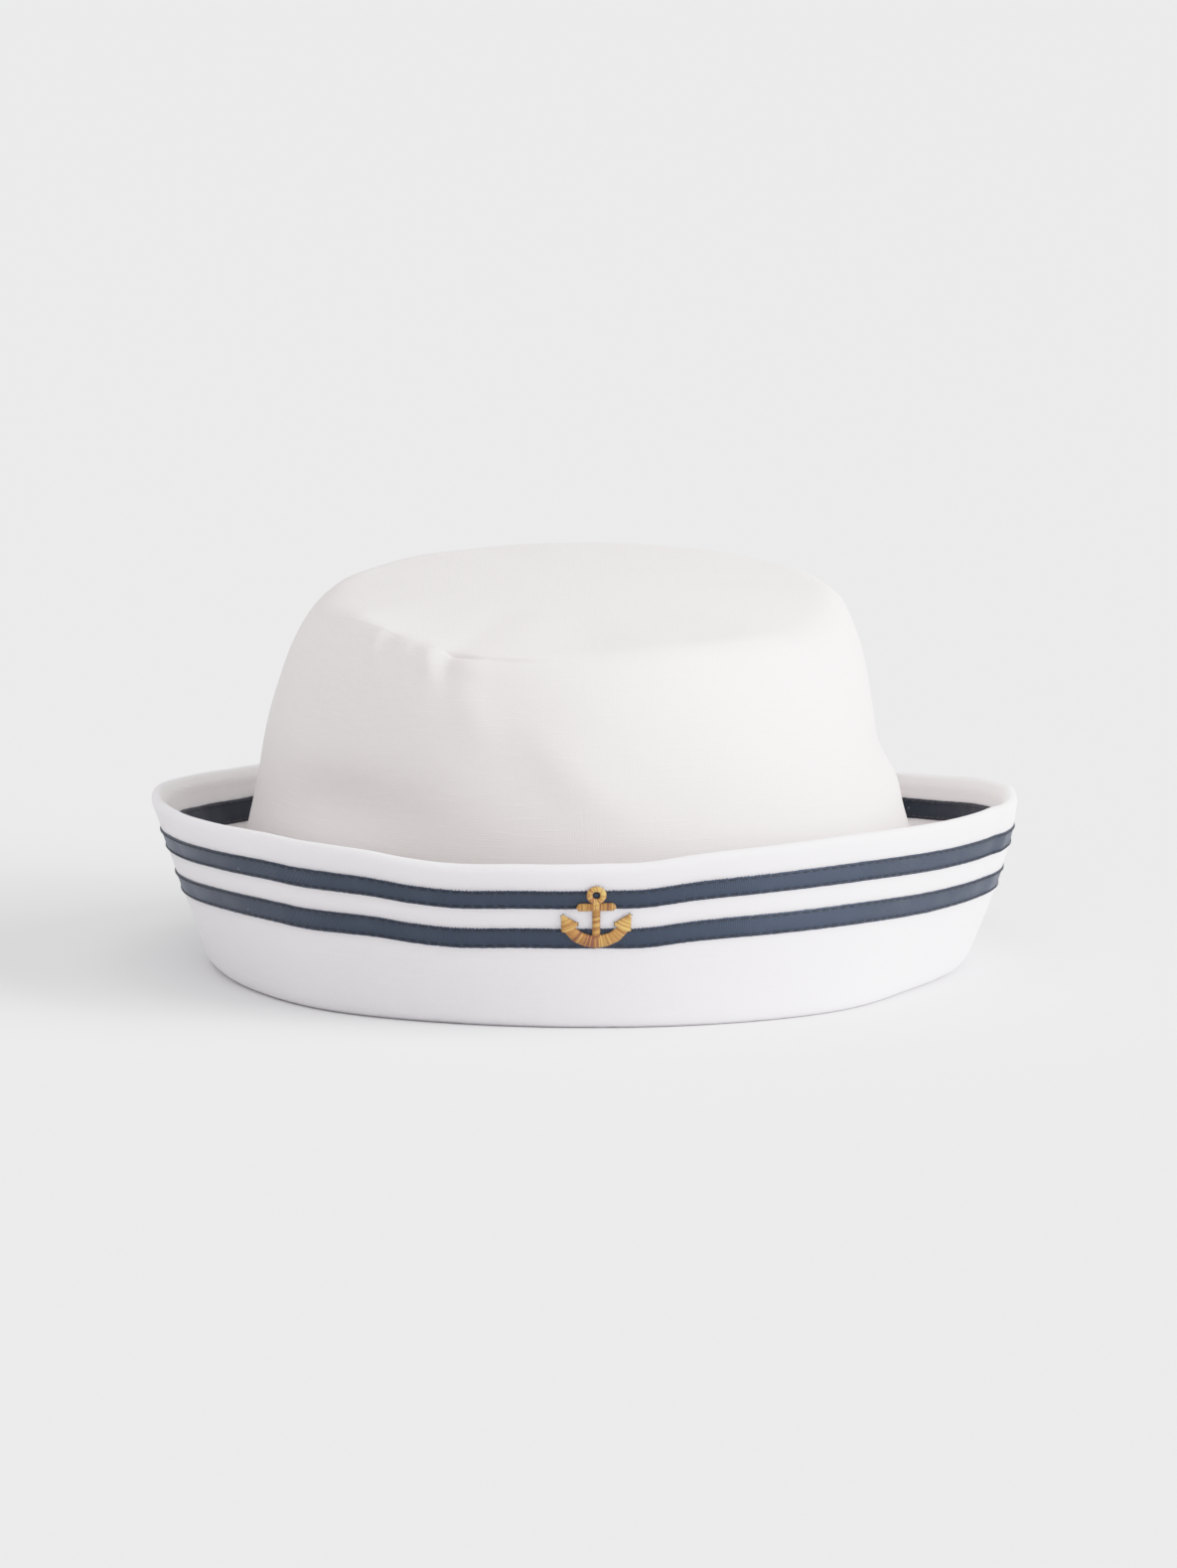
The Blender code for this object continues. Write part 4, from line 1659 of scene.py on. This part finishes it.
ANCHOR_RAILS = (
    Rail("shank", ((-0.75, -5.2), (-0.75, 3.6)), ((0.75, -4.9), (0.75, 3.9)), 0.45, 0.85),
    Rail("stock", ((-4.2, 2.3), (-3.7, 3.1), (3.7, 3.1), (4.2, 2.3)),
         ((-4.2, 2.2), (-3.7, 1.5), (3.7, 1.5), (4.2, 2.2)), 0.80, 0.60),
    Rail("arm", ((0.0, -4.6), (0.9, -4.5), (2.9, -4.0), (4.8, -2.6)),
         ((0.0, -7.4), (2.6, -6.9), (5.0, -5.7), (6.8, -3.6)), 0.35, 0.72, True),
    Rail("fluke", ((4.8, -2.6), (3.9, -1.6), (7.4, 0.6)),
         ((6.6, -3.5), (7.5, -3.4), (7.5, 0.4)), 0.75, 0.95, True),
)


@dataclass(frozen=True)
class AnchorEmbroidery:
    """Anchor in satin stitch with a dark outline, over the outer ribbons."""

    form: BrimForm = BrimForm()
    azimuth: float = 1.6
    middle: float = 11.75           # below the rim, along the cloth
    base_lift: float = 0.30         # above the brim's cloth
    pad_sink: float = 0.2           # how far the felt's foot lies below that lift
    pad_rise: float = 0.35
    pad_sharp: float = 40.0         # degrees past which the felt's edges are sharp
    thread_radius: float = 0.16
    thread_pitch: float = 0.33
    ring_middle: float = 5.2
    ring_outer: float = 2.0
    ring_hole: float = 1.0
    ring_steps: int = 24
    ring_threads: int = 52
    ring_slant: float = 0.25        # how far the ring's threads lean, in radians
    ring_shade: float = 0.72
    ring_shine: float = 0.22        # how much lighter its lit side is
    ring_light: float = 0.8         # where the light comes from, in radians
    shade_spread: float = 0.28
    thread_seed: int = 5
    # painted shade: the mirrored left parts are darker, as if turned from the light
    mirror_painted_shade: float = 0.86      # of the shades, on the left
    shortest: float = 0.0003        # metres, below which a thread is left out
    thread_tuck: float = 0.00022    # metres by which the threads reach past the felt
    outline_step: float = 0.3
    outline_points: int = 24        # the fewest on one line
    arc_points: int = 13
    felt_cuts: int = 3
    outline_height: float = 0.35    # of the felt's rise
    outline: tuple[tuple[float, float], ...] = (
        (0.75, 2.9), (3.7, 3.1), (4.2, 2.3), (3.7, 1.5), (0.75, 1.7), (0.75, -4.5), (2.9, -4.0),
        (4.8, -2.6), (3.9, -1.6), (7.4, 0.6), (7.5, -3.4), (6.6, -3.5), (5.0, -5.7), (2.6, -6.9),
    )
    foot: float = -7.4
    finish: ThreadFinish = ThreadFinish(
        "gold_satin_thread", (0.26, 0.085, 0.045), (0.50, 0.23, 0.055), (0.80, 0.48, 0.14)
    )
    edge_finish: ThreadFinish = ThreadFinish(
        "dark_outline_thread", (0.015, 0.012, 0.012), (0.035, 0.026, 0.024), (0.10, 0.06, 0.04), 0.55
    )

    def on_brim(self, flat: Array, lift: float) -> tuple[Array, Array]:
        """Place points of the flat design on the brim's front.

        Args:
            flat: Points shaped (points, 2) as (across, up) from the design's middle.
            lift: Height above the cloth.

        Returns:
            Points in metres and unit normals, each shaped (points, 3).
        """
        centre, _ = self.form.place(np.array([self.azimuth]), self.middle)
        turn = self.azimuth + np.degrees(flat[:, 0] / centre[0, 0])
        spots, outward = self.form.place(turn, self.middle - flat[:, 1])
        return in_space(turn, spots + outward * lift, outward)

    def outer_outline(self) -> Array:
        """Outer outline of the anchor, clockwise from the top of its ring.

        Returns:
            Points of the flat design, shaped (points, 2).
        """
        shank = self.outline[0][0]
        lowest = -math.degrees(math.acos(shank / self.ring_outer))
        turn = np.radians(np.linspace(90, lowest, self.arc_points))
        arc = np.stack(
            [self.ring_outer * np.cos(turn), self.ring_middle + self.ring_outer * np.sin(turn)], axis=1
        )
        right = np.concatenate([arc, np.array(self.outline)])
        left = right[:0:-1] * np.array([-1.0, 1.0])
        return np.concatenate([right, [[0.0, self.foot]], left])

    def hole_outline(self) -> Array:
        """Outline of the hole in the anchor's ring.

        Returns:
            Points of the flat design, shaped (points, 2).
        """
        turn = azimuths(self.ring_steps) * math.pi / 180
        across, up = self.ring_hole * np.cos(turn), self.ring_hole * np.sin(turn)
        return np.stack([across, self.ring_middle + up], axis=1)

    def build_pad(self, material: bpy.types.Material) -> None:
        """Build the raised felt under the threads, dark so that it paints shade in the gaps between them.

        Args:
            material: Material of the piece.
        """
        bm = bmesh.new()
        edges = []
        for outline in (self.outer_outline(), self.hole_outline()):
            verts = [bm.verts.new((across, up, 0)) for across, up in outline]
            edges += [bm.edges.new(pair) for pair in zip(verts, verts[1:] + verts[:1])]
        bmesh.ops.triangle_fill(bm, edges=edges, use_beauty=True)
        bmesh.ops.subdivide_edges(bm, edges=bm.edges, cuts=self.felt_cuts, use_grid_fill=True)
        raised = bmesh.ops.extrude_face_region(bm, geom=list(bm.faces), use_keep_orig=True)
        top = [item for item in raised["geom"] if isinstance(item, bmesh.types.BMVert)]
        bmesh.ops.translate(bm, vec=(0, 0, self.pad_rise), verts=top)
        bmesh.ops.triangulate(bm, faces=bm.faces)
        flat = np.array([vert.co[:2] for vert in bm.verts])
        lifts = np.array([vert.co[2] for vert in bm.verts])
        low, outward = self.on_brim(flat, self.base_lift - self.pad_sink)
        for vert, point, normal, lift in zip(bm.verts, low, outward, lifts):
            vert.co = Vector(point + normal * lift * MM)
        bmesh.ops.recalc_face_normals(bm, faces=bm.faces)
        mesh = bpy.data.meshes.new("anchor_shade_felt_pad")
        bm.to_mesh(mesh)
        bm.free()
        mesh.shade_smooth()
        mesh.set_sharp_from_angle(angle=math.radians(self.pad_sharp))
        add_piece("anchor_shade_felt_pad", mesh, material, ("anchor_emblem",))

    def sample_rail(self, edge: Array, share: Array) -> Array:
        """Points at shares of a polyline's length."""
        lengths = path_lengths(edge[None])[0]
        return np.stack([np.interp(share * lengths[-1], lengths, edge[:, k]) for k in (0, 1)], axis=1)

    def satin_rows(self) -> list[tuple[Array, Array, Array]]:
        """Ends and shades of the threads of each part of the design.

        Returns:
            For each part, the first ends, the second ends and the shades.
        """
        rows = []
        for rail in ANCHOR_RAILS:
            first, second = np.array(rail.first), np.array(rail.second)
            longest = max(path_lengths(edge[None])[0, -1] for edge in (first, second))
            count = int(longest / self.thread_pitch)
            share = (np.arange(count) + 0.5) / count
            starts, ends = self.sample_rail(first, share), self.sample_rail(second, share)
            shades = rail.shade_start + (rail.shade_end - rail.shade_start) * share
            rows.append((starts, ends, shades))
            if rail.mirrored:
                flip = np.array([-1.0, 1.0])
                # Painted shade: the left halves get darker threads.
                rows.append((starts * flip, ends * flip, shades * self.mirror_painted_shade))
        turn = azimuths(self.ring_threads) * math.pi / 180
        spoke = np.stack([np.cos(turn), np.sin(turn)], axis=1)
        middle = np.array([0.0, self.ring_middle])
        shades = self.ring_shade + self.ring_shine * np.cos(turn - self.ring_light)
        lean = turn + self.ring_slant
        slant = np.stack([np.cos(lean), np.sin(lean)], axis=1)
        rows.append((middle + spoke * self.ring_hole, middle + slant * self.ring_outer, shades))
        return rows

    def build_threads(self, material: bpy.types.Material) -> None:
        """Lay the satin threads with Geometry Nodes.

        Args:
            material: Material of the piece.
        """
        draw = np.random.default_rng(self.thread_seed)
        spots, runs, lifts, reaches, shades = [], [], [], [], []
        lift = self.base_lift - self.pad_sink + self.pad_rise
        for starts, ends, tones in self.satin_rows():
            first, outward = self.on_brim(starts, lift)
            second, _ = self.on_brim(ends, lift)
            run = second - first
            reach = np.linalg.norm(run, axis=1)
            keep = reach > self.shortest
            spots.append(((first + second) / 2)[keep])
            runs.append((run / np.maximum(reach, 1e-6)[:, None])[keep])
            lifts.append(outward[keep])
            reaches.append((reach + self.thread_tuck)[keep])
            shades.append((tones + draw.normal(0, self.shade_spread, len(tones)))[keep])
        vectors = {"run": np.concatenate(runs), "lift": np.concatenate(lifts)}
        values = {"reach": np.concatenate(reaches), "shade": np.concatenate(shades)}
        cloud = point_cloud("satin_points", np.concatenate(spots), vectors, values, [])
        inputs = {"Arch": 0.00034, "Radius": self.thread_radius * MM, "Seed": 1, "Material": material}
        mesh = ThreadTrees.bake(cloud, ThreadTrees.satin_stitch(), inputs)
        add_piece("anchor_satin_threads", mesh, material)

    def build_outline(self, material: bpy.types.Material) -> None:
        """Lay the dark outline stitches with Geometry Nodes.

        Args:
            material: Material of the piece.
        """
        loops = []
        for outline in (self.outer_outline(), self.hole_outline()):
            closed = np.concatenate([outline, outline[:1]])
            count = max(self.outline_points, int(path_lengths(closed[None])[0, -1] / self.outline_step))
            flat = self.sample_rail(closed, np.arange(count) / count)
            loops.append(self.on_brim(flat, self.base_lift + self.pad_rise * self.outline_height))
        lines = loop_lines("outline_lines", loops)
        inputs = {"Pitch": 0.00085, "Length": 0.00100, "Arch": 0.00012, "Radius": 0.00011,
                  "Uneven": 0.15, "Seed": 4, "Material": material}
        mesh = ThreadTrees.bake(lines, ThreadTrees.running_stitch(), inputs)
        add_piece("anchor_outline_threads", mesh, material)

    def build(self) -> None:
        """Build and dress the emblem."""
        gold = self.finish.material()
        dark = self.edge_finish.material()
        # Painted shade: the felt takes the dark outline thread, so the gaps between satin threads look
        # shaded.
        self.build_pad(dark)
        self.build_threads(gold)
        self.build_outline(dark)


# ------------------------------------------------------------------ studio
@dataclass(frozen=True)
class Lamp:
    """One soft light, far away, so that the floor keeps an even tone."""

    name: str
    azimuth: float
    elevation: float
    angle: float                    # how wide it looks from the cap, in degrees
    strength: float


@dataclass(frozen=True)
class ToneShoulder:
    """Soft shoulder of the picture's tones, which presses the lightest together."""

    brightest: float = 1.02         # the tone that the curve nears
    turn: float = 2.5               # how sharply it leaves the straight line
    reach: float = 4.0              # the most light that the curve covers
    points: int = 16

    def tone(self, light: float) -> float:
        """Tone that an amount of light is shown as."""
        return light / (1 + (light / self.brightest) ** self.turn) ** (1 / self.turn)

    def apply(self) -> None:
        """Set the scene's view curve."""
        view = bpy.context.scene.view_settings
        view.view_transform = "Standard"
        view.use_curve_mapping = True
        mapping = view.curve_mapping
        mapping.white_level = (self.reach, self.reach, self.reach)
        curve = mapping.curves[3]
        curve.points[-1].location = (1.0, self.tone(self.reach))
        for place in range(1, self.points):
            share = (place / self.points) ** 2
            curve.points.new(share, self.tone(share * self.reach))
        mapping.update()


@dataclass(frozen=True)
class Studio:
    """Floor, lights and camera of the picture."""

    photo_height: int = 1579        # pixels
    pixels_per_mm: float = 4.487    # at the point that the camera aims at
    sensor: float = 36.0
    distance: float = 3000.0
    elevation: float = 9.0
    aim: tuple[float, float, float] = (1.0, 0.0, 40.1)
    floor_size: float = 40.0        # metres
    lamps: tuple[Lamp, ...] = (
        Lamp("key_light", 65.0, 12.0, 36.0, 2.91),
        Lamp("side_light", 84.0, 30.0, 36.0, 1.38),
        Lamp("front_fill", -25.0, 12.0, 70.0, 0.545),
        Lamp("left_fill", -95.0, 35.0, 80.0, 0.42),
        Lamp("overhead", 0.0, 85.0, 60.0, 1.20),
    )
    sky_strength: float = 0.421
    sky_colour: Colour = (1.0, 1.0, 1.0)
    shoulder: ToneShoulder = ToneShoulder()
    finish: StudioFinish = StudioFinish()

    def direction(self, azimuth: float, elevation: float) -> Vector:
        """Unit vector from the cap towards an azimuth and an elevation.

        Args:
            azimuth: Degrees round the cap, from the front.
            elevation: Degrees above the floor.

        Returns:
            The vector.
        """
        turn, rise = math.radians(azimuth), math.radians(elevation)
        return Vector(
            (math.sin(turn) * math.cos(rise), -math.cos(turn) * math.cos(rise), math.sin(rise))
        )

    def build_camera(self) -> None:
        """Set the camera at the photograph's viewing angle."""
        data = bpy.data.cameras.new("photo_camera")
        data.sensor_width = self.sensor
        data.lens = self.pixels_per_mm * self.distance * self.sensor / self.photo_height
        data.clip_start = 0.1
        data.clip_end = 100.0
        camera = add_object("photo_camera", data)
        towards = self.direction(0.0, self.elevation)
        camera.location = Vector(self.aim) * MM + towards * self.distance * MM
        camera.rotation_euler = towards.to_track_quat("Z", "Y").to_euler()
        bpy.context.scene.camera = camera

    def build_lights(self) -> None:
        """Add the soft lights and an even sky."""
        for lamp in self.lamps:
            data = bpy.data.lights.new(lamp.name, "SUN")
            data.angle = math.radians(lamp.angle)
            data.energy = lamp.strength
            light = add_object(lamp.name, data)
            towards = self.direction(lamp.azimuth, lamp.elevation)
            light.location = towards
            light.rotation_euler = towards.to_track_quat("Z", "Y").to_euler()
        world = bpy.data.worlds.new("studio_sky")
        world.use_nodes = True
        bench = NodeBench(world.node_tree)
        sky = {"Color": self.sky_colour, "Strength": self.sky_strength}
        bench.dress(world.node_tree.nodes["Background"], sky)
        bpy.context.scene.world = world
        self.shoulder.apply()

    def build_floor(self) -> None:
        """Lay the pale floor under the cap."""
        half = self.floor_size / 2
        corners = [(-half, -half, 0), (half, -half, 0), (half, half, 0), (-half, half, 0)]
        mesh = bpy.data.meshes.new("studio_floor")
        mesh.from_pydata(corners, [], [(0, 1, 2, 3)])
        mesh.materials.append(self.finish.material())
        floor = add_object("studio_floor", mesh)

    def build(self) -> None:
        """Build the studio."""
        self.build_floor()
        self.build_lights()
        self.build_camera()
        LOG.info("studio: camera %.1f degrees above the floor", self.elevation)


def main() -> None:
    """Build every part of the cap and the studio, in order."""
    logging.basicConfig(level=logging.INFO, format="%(name)s: %(message)s")
    builders: tuple[Callable[[], None], ...] = (
        Studio().build,
        Crown().build,
        Brim().build,
        Ribbons().build,
        AnchorEmbroidery().build,
    )
    for build in builders:
        build()


if __name__ == "__main__":
    main()
